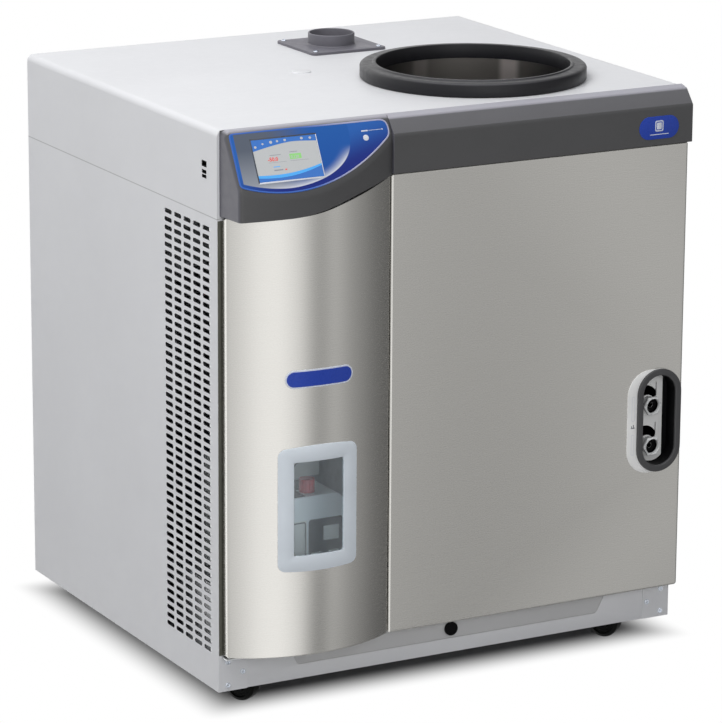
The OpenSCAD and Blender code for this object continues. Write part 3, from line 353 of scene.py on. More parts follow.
# materials of the CAD's slots, and then those of visible pieces only
M = {
    "cabinet_paint": paint("cabinet_paint", (0.74, 0.745, 0.765), Specular_IOR_Level=0.3),
    "zinc_sheet": metal("zinc_sheet", (0.55, 0.56, 0.57), 0.45, (220,) * 3, 0.12, 0.18, (35,) * 3),
    "brushed_steel": metal("brushed_steel", STEEL, 0.27, (50, 50, 2600), 0.02, 0.006,
                           (16, 16, 600), 0.05, Anisotropic=0.6, Anisotropic_Rotation=0.25),
    "chamber_steel": chamber(),
    "screw_steel": metal("screw_steel", (0.66, 0.70, 0.76), 0.22, (600,) * 3, 0.1),
    # the bezels' plastic carries a painted highlight on its tops and left sides
    "bezel_plastic": plastic_with_painted_sheen("bezel_plastic", (0.060, 0.060, 0.062)),
    "duct_plastic": plastic("duct_plastic", (0.115, 0.112, 0.130), 0.5, 900, 0.5),
    "blue_film": film(),
    "screen_glass": plastic("screen_glass", (0.02, 0.022, 0.026), 0.1, 2500, 0.0),
    "board": plastic("board", (0.01, 0.12, 0.04), 0.4, 600, 0.6),
    "black_plastic": plastic("black_plastic", (0.002, 0.002, 0.0025), 0.4, 1600, 0.3, **DULL),
    "label_plastic": plastic("label_plastic", (0.92, 0.92, 0.91), 0.4, 2200, 0.1),
    "ring_plastic": plastic("ring_plastic", (0.045, 0.045, 0.047), 0.42, 1500, 0.35),
    "fitting_plastic": plastic("fitting_plastic", (0.80, 0.81, 0.81), 0.28, 900, 0.15),
    "tube_plastic": plastic("tube_plastic", (0.66, 0.68, 0.64), 0.25, 900, 0.1),
    "collar_rubber": plastic("collar_rubber", (0.008, 0.008, 0.010), 0.36, 700, 0.4,
                             Specular_IOR_Level=0.28),
    "foam": plastic("foam", (0.62, 0.55, 0.38), 0.85, 300, 1.0),
    "white_plastic": plastic("white_plastic", (0.72, 0.725, 0.745), 0.42, 1800, 0.15,
                             Specular_IOR_Level=0.3),
    "pump_paint": paint("pump_paint", (0.86, 0.90, 0.89), 0.4, 0.6, 0.06),
    "black_paint": paint("black_paint", (0.02, 0.02, 0.022), 0.35, 0.6, 0.1),
    "fin_aluminium": metal("fin_aluminium", (0.62, 0.63, 0.65), 0.35, (200, 200, 2000), 0.2),
    "copper": metal("copper", (0.68, 0.34, 0.2), 0.3, (300,) * 3, 0.1),
    "frame_plastic": plastic("frame_plastic", (0.76, 0.82, 0.88), 0.35, 1800, 0.12),
    "red_plastic": plastic("red_plastic", (0.5, 0.015, 0.03), 0.3, 1500, 0.1),
    "caster_black": plastic("caster_black", (0.003, 0.003, 0.004), 0.35, 1300, 0.2, **DULL),
    "wheel_rubber": plastic("wheel_rubber", (0.003, 0.0035, 0.003), 0.45, 800, 0.4, **DULL),
}
m, t, b, noise = graph("window_clear", (0.86, 0.94, 1.0), 0.03, Transmission_Weight=0.95, IOR=1.45)
link(t, span(t, noise(40, 3), 0.02, 0.05), b.inputs["Roughness"])
M["window_clear"] = m
X = {
    "side_paint_with_painted_shade": side_paint_with_painted_shade(),
    # darker grey for the kick plate's set-back part: painted shade
    "recess_painted_shade": paint("recess_painted_shade", (0.56, 0.56, 0.565)),
    "motor_paint": paint("motor_paint", (0.05, 0.068, 0.105), 0.4, 0.6, 0.08),
    "rim_film": fade("rim_film", (0.035, 0.13, 0.50), (0.42, 0.42, 0.56), 120, 215),
    "silver_print": plastic("silver_print", (0.72, 0.74, 0.80), 0.25, 2200, 0.05),
    "dark_print": plastic("dark_print", (0.05, 0.06, 0.08), 0.3, 2200, 0.05),
    "badge_white": plastic("badge_white", (0.72, 0.76, 0.86), 0.3, 2200, 0.05),
    "badge_blue": plastic("badge_blue", (0.02, 0.06, 0.42), 0.28, 2200, 0.02,
                          Specular_IOR_Level=0.25),
    "plate_dark": plastic("plate_dark", (0.045, 0.05, 0.055), 0.4, 1500, 0.1),
    "plate_pale": plastic("plate_pale", (0.86, 0.88, 0.82), 0.4, 1500, 0.1),
    # dark grey for the thin sheet on the side's front return: painted shade of the gap
    "gap_painted_shade": plastic("gap_painted_shade", (0.085, 0.085, 0.068), 0.5, 1500, 0.2),
    "glow_white": glow("glow_white", (0.36, 0.37, 0.375), 0.5),
    "glow_blue": glow("glow_blue", (0.03, 0.13, 0.42)),
    "glow_cyan": glow("glow_cyan", (0.06, 0.32, 0.70)),
    "glow_red": glow("glow_red", (0.55, 0.05, 0.04), 0.6),
    "glow_green": glow("glow_green", (0.22, 0.52, 0.16)),
    "glow_grey": glow("glow_grey", (0.22, 0.23, 0.26)),
}

# ---------------- mesh helpers


def front(y, u0=0, v0=0):
    """Places points on a plane that faces the front: u to the right, v up, h towards -y."""
    return lambda u, v, h: (u0 + u, y - h, v0 + v)


def top(z, u0=0, v0=0):
    """Places points on a level plane: u to the right, v to the back, h up."""
    return lambda u, v, h: (u0 + u, v0 + v, z + h)


def face(u0=0, v0=0):
    """On the slanted control face: u across, v up the slope, h outwards."""
    return lambda u, v, h: (u0 + u, FACE_Y + (v0 + v) * FS - h * FC,
                            FACE_TOP + (v0 + v) * FC + h * FS)


def door(u0, v0):
    """On the pump door's curved sheet."""
    def f(u, v, h):
        x = u0 + u - DOOR[0]
        a = math.asin(x / DOOR[2])
        return (DOOR[0] + (DOOR[2] + h) * sin(a), DOOR[1] - (DOOR[2] + h) * cos(a), v0 + v)
    return f


def rr(w, h, r, n=8, side=1):
    """Rounded rectangle, counter-clockwise, with side points along each straight side."""
    r = min(r, w / 2 - 1e-4, h / 2 - 1e-4)
    pts = []
    for k, (sx, sy) in enumerate(((1, 1), (-1, 1), (-1, -1), (1, -1))):
        cx, cy = sx * (w / 2 - r), sy * (h / 2 - r)
        arc = [(cx + r * cos(k * pi / 2 + i * pi / 2 / n), cy + r * sin(k * pi / 2 + i * pi / 2 / n))
               for i in range(n + 1)]
        pts += arc
        if side > 1:
            nx, ny = ((-1, 1), (-1, -1), (1, -1), (1, 1))[k]
            b = (nx * (w / 2 - (r if k % 2 == 0 else 0)), ny * (h / 2 - (r if k % 2 else 0)))
            a = arc[-1]
            pts += [(a[0] + (b[0] - a[0]) * i / side, a[1] + (b[1] - a[1]) * i / side)
                    for i in range(1, side)]
    return pts


def rect(u0, u1, v0, v1):
    return [(u0, v0), (u1, v0), (u1, v1), (u0, v1)]


def disc(r, n=32):
    return [(r * cos(i * 2 * pi / n), r * sin(i * 2 * pi / n)) for i in range(n)]


def inset(poly, d):
    """A counter-clockwise outline moved inwards by d."""
    if not d:
        return list(poly)
    out = []
    for i, b in enumerate(poly):
        a, c = poly[i - 1], poly[(i + 1) % len(poly)]
        l1, l2 = hypot(b[0] - a[0], b[1] - a[1]), hypot(c[0] - b[0], c[1] - b[1])
        n1 = (-(b[1] - a[1]) / l1, (b[0] - a[0]) / l1)
        n2 = (-(c[1] - b[1]) / l2, (c[0] - b[0]) / l2)
        k = d / max(0.3, 1 + n1[0] * n2[0] + n1[1] * n2[1])
        out.append((b[0] + k * (n1[0] + n2[0]), b[1] + k * (n1[1] + n2[1])))
    return out


def edge(h, r, n=4, base=0.0):
    """Profile of a wall that rises from base to h and ends in a rounding of radius r."""
    return [(0, base)] + [(r * (1 - cos(i * pi / 2 / n)), h - r * (1 - sin(i * pi / 2 / n)))
                          for i in range(n + 1)]


class Mesh:
    """Collects points in cabinet millimetres and faces, then makes one object of them."""

    def __init__(self):
        self.v, self.f, self.flat = [], [], []

    def add(self, pts):
        i = len(self.v)
        self.v += pts
        return list(range(i, i + len(pts)))

    def quad(self, ids, flat=False):
        self.f.append(ids)
        self.flat.append(flat)

    def strip(self, a, b, closed=True):
        for i in range(len(a) if closed else len(a) - 1):
            j = (i + 1) % len(a)
            self.quad([a[i], a[j], b[j], b[i]])

    def loft(self, loops, closed=True):
        """Joins outlines of equally many points, one after the other."""
        ids = [self.add(p) for p in loops]
        for a, b in zip(ids, ids[1:]):
            self.strip(a, b, closed)
        return ids

    def cap(self, *loops):
        """Fills a plane outline, less any further outlines that are holes in it."""
        flat2 = [[Vector((p[0], p[1], 0)) for p in q] for q, ids in loops]
        ids = [i for q, ids in loops for i in ids]
        for tri in tessellate_polygon(flat2):
            self.quad([ids[i] for i in tri], True)

    def relief(self, place, outline, profile, holes=(), hole_depth=None, back=False):
        """A raised shape: profile is (inset, height) from the back edge to the front."""
        rings = [inset(outline, d) for d, h in profile]
        ids = self.loft([[place(p[0], p[1], h) for p in q] for q, (d, h) in zip(rings, profile)])
        tops = [(rings[-1], ids[-1])]
        for hole in holes:
            hp = profile if hole_depth is None else [(0, hole_depth)] + list(profile[1:])
            hr = [inset(hole, -d) for d, h in hp]
            hi = self.loft([[place(p[0], p[1], h) for p in q] for q, (d, h) in zip(hr, hp)])
            tops.append((hr[-1], hi[-1]))
            if hole_depth is not None:
                self.cap((hr[0], hi[0]))
        self.cap(*tops)
        if back:
            self.cap((rings[0], ids[0]))

    def lathe(self, profile, place, n=48):
        """Turns a profile of (radius, height) about the axis; place takes (u, v, h)."""
        self.loft([[place(r * cos(i * 2 * pi / n), r * sin(i * 2 * pi / n), h)
                    for i in range(n)] for r, h in profile])

    def box(self, x0, x1, y0, y1, z0, z1):
        ids = self.loft([[(x0, y0, z), (x1, y0, z), (x1, y1, z), (x0, y1, z)] for z in (z0, z1)])
        self.quad(ids[0], True)
        self.quad(ids[1], True)

    def done(self, name, mat, slot=None, body="cabinet", nodes=(), sharp=38, soft=0.0, seg=3,
             limit=30, weigh=None):
        """Makes the object: it rides body and stands for nodes; slot is not used."""
        me = bpy.data.meshes.new(name)
        me.from_pydata([((x - MID_X) / 1000, (y - MID_Y) / 1000, z / 1000) for x, y, z in self.v],
                       [], self.f)
        me.polygons.foreach_set("use_smooth", [not k for k in self.flat])
        bm = bmesh.new()
        bm.from_mesh(me)
        bmesh.ops.remove_doubles(bm, verts=bm.verts, dist=2e-6)
        bmesh.ops.recalc_face_normals(bm, faces=bm.faces)
        bm.to_mesh(me)
        bm.free()
        o = bpy.data.objects.new(name, me)
        S.collection.objects.link(o)
        if soft:
            me.polygons.foreach_set("use_smooth", [True] * len(me.polygons))
            soften(o, soft, seg, limit, weigh)
        else:
            me.set_sharp_from_angle(angle=radians(sharp))
        me.materials.append(X.get(mat) or M[mat])
        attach(o, body)
        slot or mat
        if nodes:
            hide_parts(*nodes)
        return o


def soften(o, width, seg=2, limit=30, weigh=None):
    """Rounds the edges sharper than limit degrees; width in mm, or a share of it by place."""
    b = o.modifiers.new("soften", "BEVEL")
    b.width = width / 1000
    b.segments = seg
    b.use_clamp_overlap = weigh is None
    if weigh:
        bm = bmesh.new()
        bm.from_mesh(o.data)
        share = bm.edges.layers.float.new("bevel_weight_edge")
        for e in bm.edges:
            if len(e.link_faces) == 2 and e.calc_face_angle() > radians(limit):
                mid = (e.verts[0].co + e.verts[1].co) * 500
                e[share] = weigh(mid.x + MID_X, mid.y + MID_Y, mid.z)
        bm.to_mesh(o.data)
        bm.free()
        b.limit_method = "WEIGHT"
    else:
        b.limit_method = "ANGLE"
        b.angle_limit = radians(limit)
    w = o.modifiers.new("even", "WEIGHTED_NORMAL")
    w.weight = 100


# ---------------- doors and front sheets


def bulge(x, r=BULGE):
    """Depth of the control bezel's front at x, or of an arc of radius r about the same axis."""
    return AXIS_Y - sqrt(r * r - (x - AXIS_X) ** 2)


def edge_z(x):
    """Height of the control bezel's lower edge."""
    x1 = LOW_X + LOW_R * sin(LOW_TURN)
    if x < LOW_X:
        return LOW_Z
    if x < x1:
        return LOW_Z + LOW_R - sqrt(LOW_R ** 2 - (x - LOW_X) ** 2)
    return LOW_Z + LOW_R * (1 - cos(LOW_TURN)) + (x - x1) * math.tan(LOW_TURN)


def arc(cx, cy, r, a0, a1, n):
    """Points and outward normals along an arc; angles from -y towards +x, in degrees."""
    out = []
    for i in range(n + 1):
        a = radians(a0 + (a1 - a0) * i / n)
        out.append((cx + r * sin(a), cy - r * cos(a), sin(a), -cos(a)))
    return out


def pump_door():
    """The curved sheet with its folded edges, end plates and window opening."""
    cx, cy, R = DOOR
    r, t = 3.0, 1.5
    xl, xr = DOOR_L, DOOR_R
    fl = (xl + r, cy - sqrt((R - r) ** 2 - (xl + r - cx) ** 2))
    fr = (xr - r, cy - sqrt((R - r) ** 2 - (xr - r - cx) ** 2))
    al = math.degrees(math.asin((fl[0] - cx) / (R - r)))
    ar = math.degrees(math.asin((fr[0] - cx) / (R - r)))
    hx = (PANE[0] - 57, PANE[0] + 57)
    hz = (PANE[1] - 89, PANE[1] + 89)
    ah = [math.degrees(math.asin((x - cx) / R)) for x in hx]
    path = [(xl, -3, -1, 0)] + arc(*fl, r, -90, al, 6)
    path += arc(cx, cy, R, al, ah[0], 24)[1:]
    j0 = len(path) - 1
    path += arc(cx, cy, R, ah[0], ah[1], 30)[1:]
    j1 = len(path) - 1
    path += arc(cx, cy, R, ah[1], ar, 22)[1:]
    path += arc(*fr, r, ar, 90, 6)[1:]
    path += [(xr, -8, 1, 0)] + arc(xr - 1.5, -8, 1.5, 90, 180, 3)[1:] + [(xr - 15, -6.5, 0, 1)]

    def height(p):
        return min(764.0, edge_z(p[0]) - 1.2) if p[1] > -12 else edge_z(p[0]) - 1.2

    def rows(offset, low):
        out = [[(x - nx * (offset + d), y - ny * (offset + d), z) for x, y, nx, ny in path]
               for d, z in low]
        for z in (hz[0], (hz[0] + hz[1]) / 2, hz[1]):
            out.append([(x - nx * offset, y - ny * offset, z) for x, y, nx, ny in path])
        for k in (0.33, 0.66, 1.0):
            out.append([(p[0] - p[2] * offset, p[1] - p[3] * offset, hz[1] + k * (height(p) - hz[1]))
                        for p in path])
        return out

    s = Mesh()
    low = [(r * (1 - sin(i * pi / 10)), SHEETS_LOW + r - r * cos(i * pi / 10)) for i in range(6)]
    sheets = []
    # an outer and an inner sheet, each with a gap in the rows and columns of the window
    for off, lo in ((0, low), (t, [(0, SHEETS_LOW + t)])):
        ids = [s.add(q) for q in rows(off, lo)]
        h0 = len(lo)
        for k, (a, b) in enumerate(zip(ids, ids[1:])):
            for j in range(len(path) - 1):
                if h0 <= k < h0 + 2 and j0 <= j < j1:
                    continue
                s.quad([a[j], a[j + 1], b[j + 1], b[j]])
        sheets.append((ids, h0))
    (A, ha), (B, hb) = sheets
    s.strip(A[-1], B[-1], False)
    for j in (0, -1):
        s.quad([A[0][j], A[-1][j], B[-1][j], B[0][j]])
    for k in (0, 2):
        s.strip(A[ha + k][j0:j1 + 1], B[hb + k][j0:j1 + 1], False)
    for j in (j0, j1):
        s.strip([A[ha + k][j] for k in range(3)], [B[hb + k][j] for k in range(3)], False)
    # end plates: lower and upper face, and how far they stay inside the sheet
    for z0, z1, d in ((SHEETS_LOW, SHEETS_LOW + t, 3.0), (762.5, 764, 1.2)):
        outline = [(x - nx * d, y - ny * d) for x, y, nx, ny in path[1:-5]]
        outline += [(xr - d, -6.5), (xl + d, -6.5)]
        s.relief(lambda u, v, h: (u, v, h), outline, [(0, z0), (0, z1)], back=True)
    s.done("door_sheet", "brushed_steel", "brushed_steel", "pump_door", ["pump_door"], sharp=42)


def front_panel():
    """The flat sheet, folded back at its edges, with the port's opening."""
    s = Mesh()
    cx, cz = (PANEL_L + PANEL_R) / 2, (SHEETS_LOW + PANEL_TOP) / 2
    hole = [(x + PORT[0] - cx, y + PORT[1] - cz) for x, y in rr(61.9, 149.4, 30.9, 12)]
    prof = [(0, 0), (0, 21)] + [(4 * (1 - cos(i * pi / 12)), 21 + 4 * sin(i * pi / 12))
                                for i in range(1, 7)]
    outline = rr(PANEL_R - PANEL_L, PANEL_TOP - SHEETS_LOW, 5, 6)
    rings = [inset(outline, d) for d, h in prof]
    pl = front(0, cx, cz)
    ids = s.loft([[pl(p[0], p[1], h) for p in q] for q, (d, h) in zip(rings, prof)])
    hi = s.loft([[pl(p[0], p[1], h) for p in hole] for h in (23.5, 25)])
    s.cap((rings[-1], ids[-1]), (hole, hi[-1]))
    s.done("front_sheet", "brushed_steel", nodes=["front_panel"])


def bezels():
    """The dark hoods over the pump door and, as a band, over the front panel."""
    s = Mesh()
    xs = [20 + (264 - 20) * i / 40 for i in range(41)] + [278]

    def column(x, left=False):
        yf = bulge(x) if not left else bulge(9.4)
        pts = [(0, TOP), (-12.94, TOP), (yf, FACE_TOP + (yf - FACE_Y) / math.tan(TILT)),
               (yf, edge_z(x)), (0, edge_z(x))]
        return [((4 + 12 * -y / 127) if left else x, y, z) for y, z in pts]

    loops = [column(0, True)] + [column(x) for x in xs]
    ids = s.loft(loops)
    s.quad(ids[0])
    s.quad(ids[-1])
    # the back, lower and right edges stay sharp, and the upper left corner is the roundest
    s.done("control_hood", "bezel_plastic", nodes=["control_bezel"], soft=12, seg=6, limit=17,
           weigh=lambda x, y, z: 0.06 if z < edge_z(x) + 1 or x > 277 or y > -1 else
           1.0 if x < 8 and z > 899 else 0.5)
    s = Mesh()
    sec = [(0, TOP), (-15, TOP - 4), (BAND_FRONT, 873.4), (BAND_FRONT, 814.4), (0, 814.4)]
    ids = s.loft([[(x, y, z) for y, z in sec] for x in (278.3, 420, 560, 700, 808)])
    s.quad(ids[0])
    s.quad(ids[-1])
    s.done("band_hood", "bezel_plastic", nodes=["band_bezel"], soft=3.0, seg=4, limit=20,
           weigh=lambda x, y, z: 0.2 if z < 815 or x < 279 or x > 807 or y > -1 else 1.0)


def overlay_outline():
    """The film's outline on the control face: level top, and the bulge as its lower side."""
    r = 497.5
    low = []
    for i in range(41):
        u = 11 + (275 - 11) * i / 40
        low.append((u, (bulge(u, r) - FACE_Y) / FS))
    pts = low + [(275, -2), (11, -2)]
    out = []
    rads = {0: 7, 40: 8, 41: 15, 42: 7}
    for i, p in enumerate(pts):
        if i not in rads:
            out.append(p)
            continue
        a, c = pts[i - 1], pts[(i + 1) % len(pts)]
        if i in (0, 40):
            c = pts[2] if i == 0 else c
            a = pts[38] if i == 40 else a
        da, dc = Vector(a) - Vector(p), Vector(c) - Vector(p)
        k = rads[i]
        p1, p2 = Vector(p) + da.normalized() * k, Vector(p) + dc.normalized() * k
        for j in range(7):
            q = j / 6
            w = p1 * (1 - q) ** 2 + Vector(p) * 2 * q * (1 - q) + p2 * q * q
            out.append((w.x, w.y))
    # points of the arc that the roundings have passed are left out
    clean = []
    for p in out:
        if not clean or hypot(p[0] - clean[-1][0], p[1] - clean[-1][1]) > 0.6:
            clean.append(p)
    return clean


SCREEN = (97.5, -47.9, 107.5, 65.8)     # centre across and up the face, width and height


def control_face():
    """Film, screen and print on the slanted face."""
    cu, cv, w, h = SCREEN
    outline = overlay_outline()
    s = Mesh()
    hole = [(u + cu, v + cv) for u, v in rr(w + 0.8, h + 0.8, 0.5, 1)]
    s.relief(face(), outline, [(0, 0.02), (0, 0.35), (0.3, 0.6)], holes=[hole])
    s.done("leaf_film", "blue_film", nodes=["display_overlay"])
    s = Mesh()
    a, b = outline, inset(outline, 2.6)
    rows = [(a, 0.02), (inset(a, 0.15), 0.6), (inset(a, 0.6), 0.8), (inset(a, 1.9), 0.8), (b, 0.5)]
    s.loft([[face()(p[0], p[1], hh) for p in q] for q, hh in rows])
    s.done("leaf_rim", "rim_film", "blue_film")
    # frame round the screen: dark above and on the left, silver below and on the right
    for name, mat, bars in (
            ("screen_frame_dark", "dark_print",
             ((-w / 2 - 1.2, w / 2 + 1.2, h / 2 - 0.6, h / 2 + 1.6),
              (-w / 2 - 1.4, -w / 2 + 0.5, -h / 2 - 1, h / 2 + 1.6))),
            ("screen_frame_pale", "silver_print",
             ((-w / 2 - 0.6, w / 2 + 1.6, -h / 2 - 2.0, -h / 2 + 0.3),
              (w / 2 - 0.2, w / 2 + 1.0, -h / 2 - 1.8, h / 2)))):
        s = Mesh()
        for u0, u1, v0, v1 in bars:
            s.relief(face(cu, cv), rect(u0, u1, v0, v1), [(0, 0.5), (0, 0.9), (0.2, 1.0)])
        s.done(name, mat, "screen_glass")
    s = Mesh()
    s.relief(face(cu, cv), rr(w, h, 0.8, 3), [(0, -6), (0, 0.4), (0.3, 0.62)], back=True)
    s.done("screen_panel", "screen_glass", nodes=["touchscreen"])

    def shape(name, mat, pts, hh):
        s = Mesh()
        pts = [(-w / 2 + 0.4 + p[0] * (w - 0.8), h / 2 - 0.5 - p[1] * (h - 1)) for p in pts]
        area = sum(a[0] * b[1] - b[0] * a[1] for a, b in zip(pts, pts[1:] + pts[:1]))
        if area < 0:
            pts = pts[::-1]
        s.relief(face(cu, cv), pts, [(0, 0.62), (0, hh)])
        s.done(name, mat, "screen_glass")

    n = 24
    up = [(i / n, 0.27 - 0.17 * sin(pi * min(1, i / n * 1.25) / 2) + 0.05 * max(0, i / n - 0.6) / 0.4)
          for i in range(n + 1)]
    lo = [(i / n, 0.84 + 0.035 * sin(pi * i / n) - 0.15 * (i / n) ** 2.2) for i in range(n + 1)]
    lo2 = [(x, y + 0.02 + 0.055 * sin(pi * (0.25 + 0.6 * x))) for x, y in lo]
    shape("screen_field", "glow_white", rect(0, 1, 0, 1), 0.66)
    shape("screen_head", "glow_blue", [(0, 0)] + up + [(1, 0)], 0.70)
    shape("screen_wave", "glow_cyan", lo + [(1, 1), (0, 1)], 0.69)
    shape("screen_foot", "glow_blue", lo2 + [(1, 1), (0, 1)], 0.71)
    # places and sizes on the screen are fractions of it, y downwards
    for i, (x, y, k) in enumerate(((0.05, 0.17, 0.02), (0.17, 0.11, 0.016), (0.30, 0.085, 0.024),
                                   (0.40, 0.075, 0.018), (0.52, 0.065, 0.02), (0.78, 0.06, 0.022),
                                   (0.91, 0.07, 0.02))):
        shape("screen_icon_%d" % i, "glow_white",
              [(x + k * cos(a * pi / 4), y + k * 1.5 * sin(a * pi / 4)) for a in range(8)], 0.74)
    for i, (x0, y0, x1, y1, mat) in enumerate((
            (0.24, 0.385, 0.41, 0.40, "glow_grey"), (0.55, 0.345, 0.67, 0.36, "glow_grey"),
            (0.20, 0.56, 0.48, 0.567, "glow_grey"), (0.54, 0.56, 0.82, 0.567, "glow_grey"),
            (0.26, 0.66, 0.36, 0.68, "glow_cyan"), (0.26, 0.735, 0.40, 0.765, "glow_grey"),
            (0.43, 0.735, 0.46, 0.765, "glow_red"), (0.54, 0.40, 0.72, 0.525, "glow_green"))):
        shape("screen_mark_%d" % i, mat, rect(x0, x1, y0, y1), 0.72)
    digits("screen_red", "-50.0", 0.2, 0.53, 8.2, "glow_red", 0.22)
    digits("screen_green", "0.120", 0.555, 0.505, 6.2, "glow_white", 0.08)
    s = Mesh()
    s.lathe([(4.6, 0.6), (4.6, 0.75), (4.2, 0.85), (0.01, 0.85)], face(233.5, -29), 28)
    s.done("leaf_button", "silver_print", "blue_film")
    s = Mesh()
    for u0, u1, v0, v1 in ((240, 262, -18.5, -17.9), (262.4, 264, -19.2, -17.2),
                           (228, 239, -19.3, -17.3)):
        s.relief(face(), rect(u0, u1, v0, v1), [(0, 0.6), (0, 0.72)])
    s.done("leaf_line", "silver_print", "blue_film")


def digits(name, text, x, y, size, mat, bold):
    """Number on the screen, from the built-in font; x and y are fractions of the screen."""
    cu, cv, w, h = SCREEN
    c = bpy.data.curves.new(name + "_text", "FONT")
    c.body = text
    c.size = size
    c.offset = bold
    c.resolution_u = 2
    o = bpy.data.objects.new(name + "_text", c)
    S.collection.objects.link(o)
    me = bpy.data.meshes.new_from_object(o.evaluated_get(bpy.context.evaluated_depsgraph_get()))
    bpy.data.objects.remove(o)
    s = Mesh()
    pl = face(cu - w / 2 + x * w, cv + h / 2 - y * h)
    s.add([pl(v.co.x, v.co.y, 0.78) for v in me.vertices])
    for p in me.polygons:
        s.quad(list(p.vertices), True)
    s.done(name, mat, "screen_glass")


def emblem():
    """The plain pill on the band, with a generic mark."""
    s = Mesh()
    s.relief(front(BAND_FRONT, EMBLEM_X, 842.4), rr(72, 36, 18, 12), edge(1.0, 0.5, 3))
    s.done("emblem_plate", "badge_blue", "blue_film", nodes=["band_emblem"])
    s = Mesh()
    pl, thin = front(BAND_FRONT, EMBLEM_X, 845), [(0, 1.0), (0, 1.1), (0.2, 1.2)]
    s.relief(pl, rr(15, 17, 2.5, 4), thin, holes=[rr(11.4, 13.4, 1.5, 4)])
    s.relief(pl, rr(8.6, 10.6, 1.0, 4), thin)
    s.relief(front(BAND_FRONT, EMBLEM_X, 832), rr(34, 1.2, 0.6, 2), [(0, 1.0), (0, 1.15)])
    s.done("emblem_mark", "badge_white", "blue_film")


def window():
    """The frame on the curved door."""
    s = Mesh()

    def crown(pts, hw, hh):
        """Bows the level sides, the upper one more than the lower one."""
        return [(u, v - 5 * (u / hw) ** 2 if v > hh * 0.5 else
                 (v + 2.5 * (u / hw) ** 2 if v < -hh * 0.5 else v)) for u, v in pts]

    pl = door(*PANE)
    w, h = 131, 197
    outer = lambda d: crown(rr(w - 2 * d, h - 2 * d, 11 - d, 8, 14), w / 2, h / 2)
    inner = lambda d: rr(82.4 + 2 * d, 146.4 + 2 * d, 3 + d, 8, 14)
    rows = [(outer(0), 0.05), (outer(0), 0.9), (outer(0.25), 1.35), (outer(0.9), 1.6),
            (inner(1.0), 1.6), (inner(0.3), 1.3), (inner(0), 0.7), (inner(0), -2.6)]
    s.loft([[pl(u, v, h) for u, v in q] for q, h in rows])
    back = [rr(113.6, 177.6, 4, 8, 14), inner(0)]
    s.loft([[pl(u, v, h) for u, v in q] for q, h in ((back[0], 0.0), (back[0], -2.6), (back[1], -2.6))])
    s.done("window_surround", "frame_plastic", "frame_plastic", "pump_door", ["window_frame"])


def badge():
    """The plain pill on the pump door."""
    pl = door(141.3, 523.8)

    def pad(s, w, h, r, h0, h1):
        """Stadium on the curved door, in columns so that it follows the curve."""
        n = 56
        rows = []
        for k in range(n + 1):
            u = -w / 2 * cos(pi * k / n)
            d = max(0.0, abs(u) - (w / 2 - r))
            half = (h / 2 - r) + sqrt(max(0.0, r * r - d * d))
            rows.append((u, max(half, 0.02)))
        ring = [(u, q) for u, q in rows] + [(u, -q) for u, q in rows[::-1]]
        ids = s.loft([[pl(u, v, x) for u, v in inset(ring[::-1], dd)]
                      for dd, x in ((0, h0), (0, h1 - 0.3), (0.3, h1))])
        top_ids = ids[-1][::-1]
        for k in range(n):
            s.quad([top_ids[k], top_ids[k + 1], top_ids[2 * n - k], top_ids[2 * n + 1 - k]])

    s = Mesh()
    pad(s, 112, 28, 14, 0.05, 1.2)
    s.done("badge_plate", "badge_white", "blue_film", "pump_door", ["door_badge"], sharp=30)
    s = Mesh()
    pad(s, 107.4, 23.4, 11.7, 1.1, 1.5)
    s.done("badge_field", "badge_blue", "blue_film", "pump_door", sharp=30)


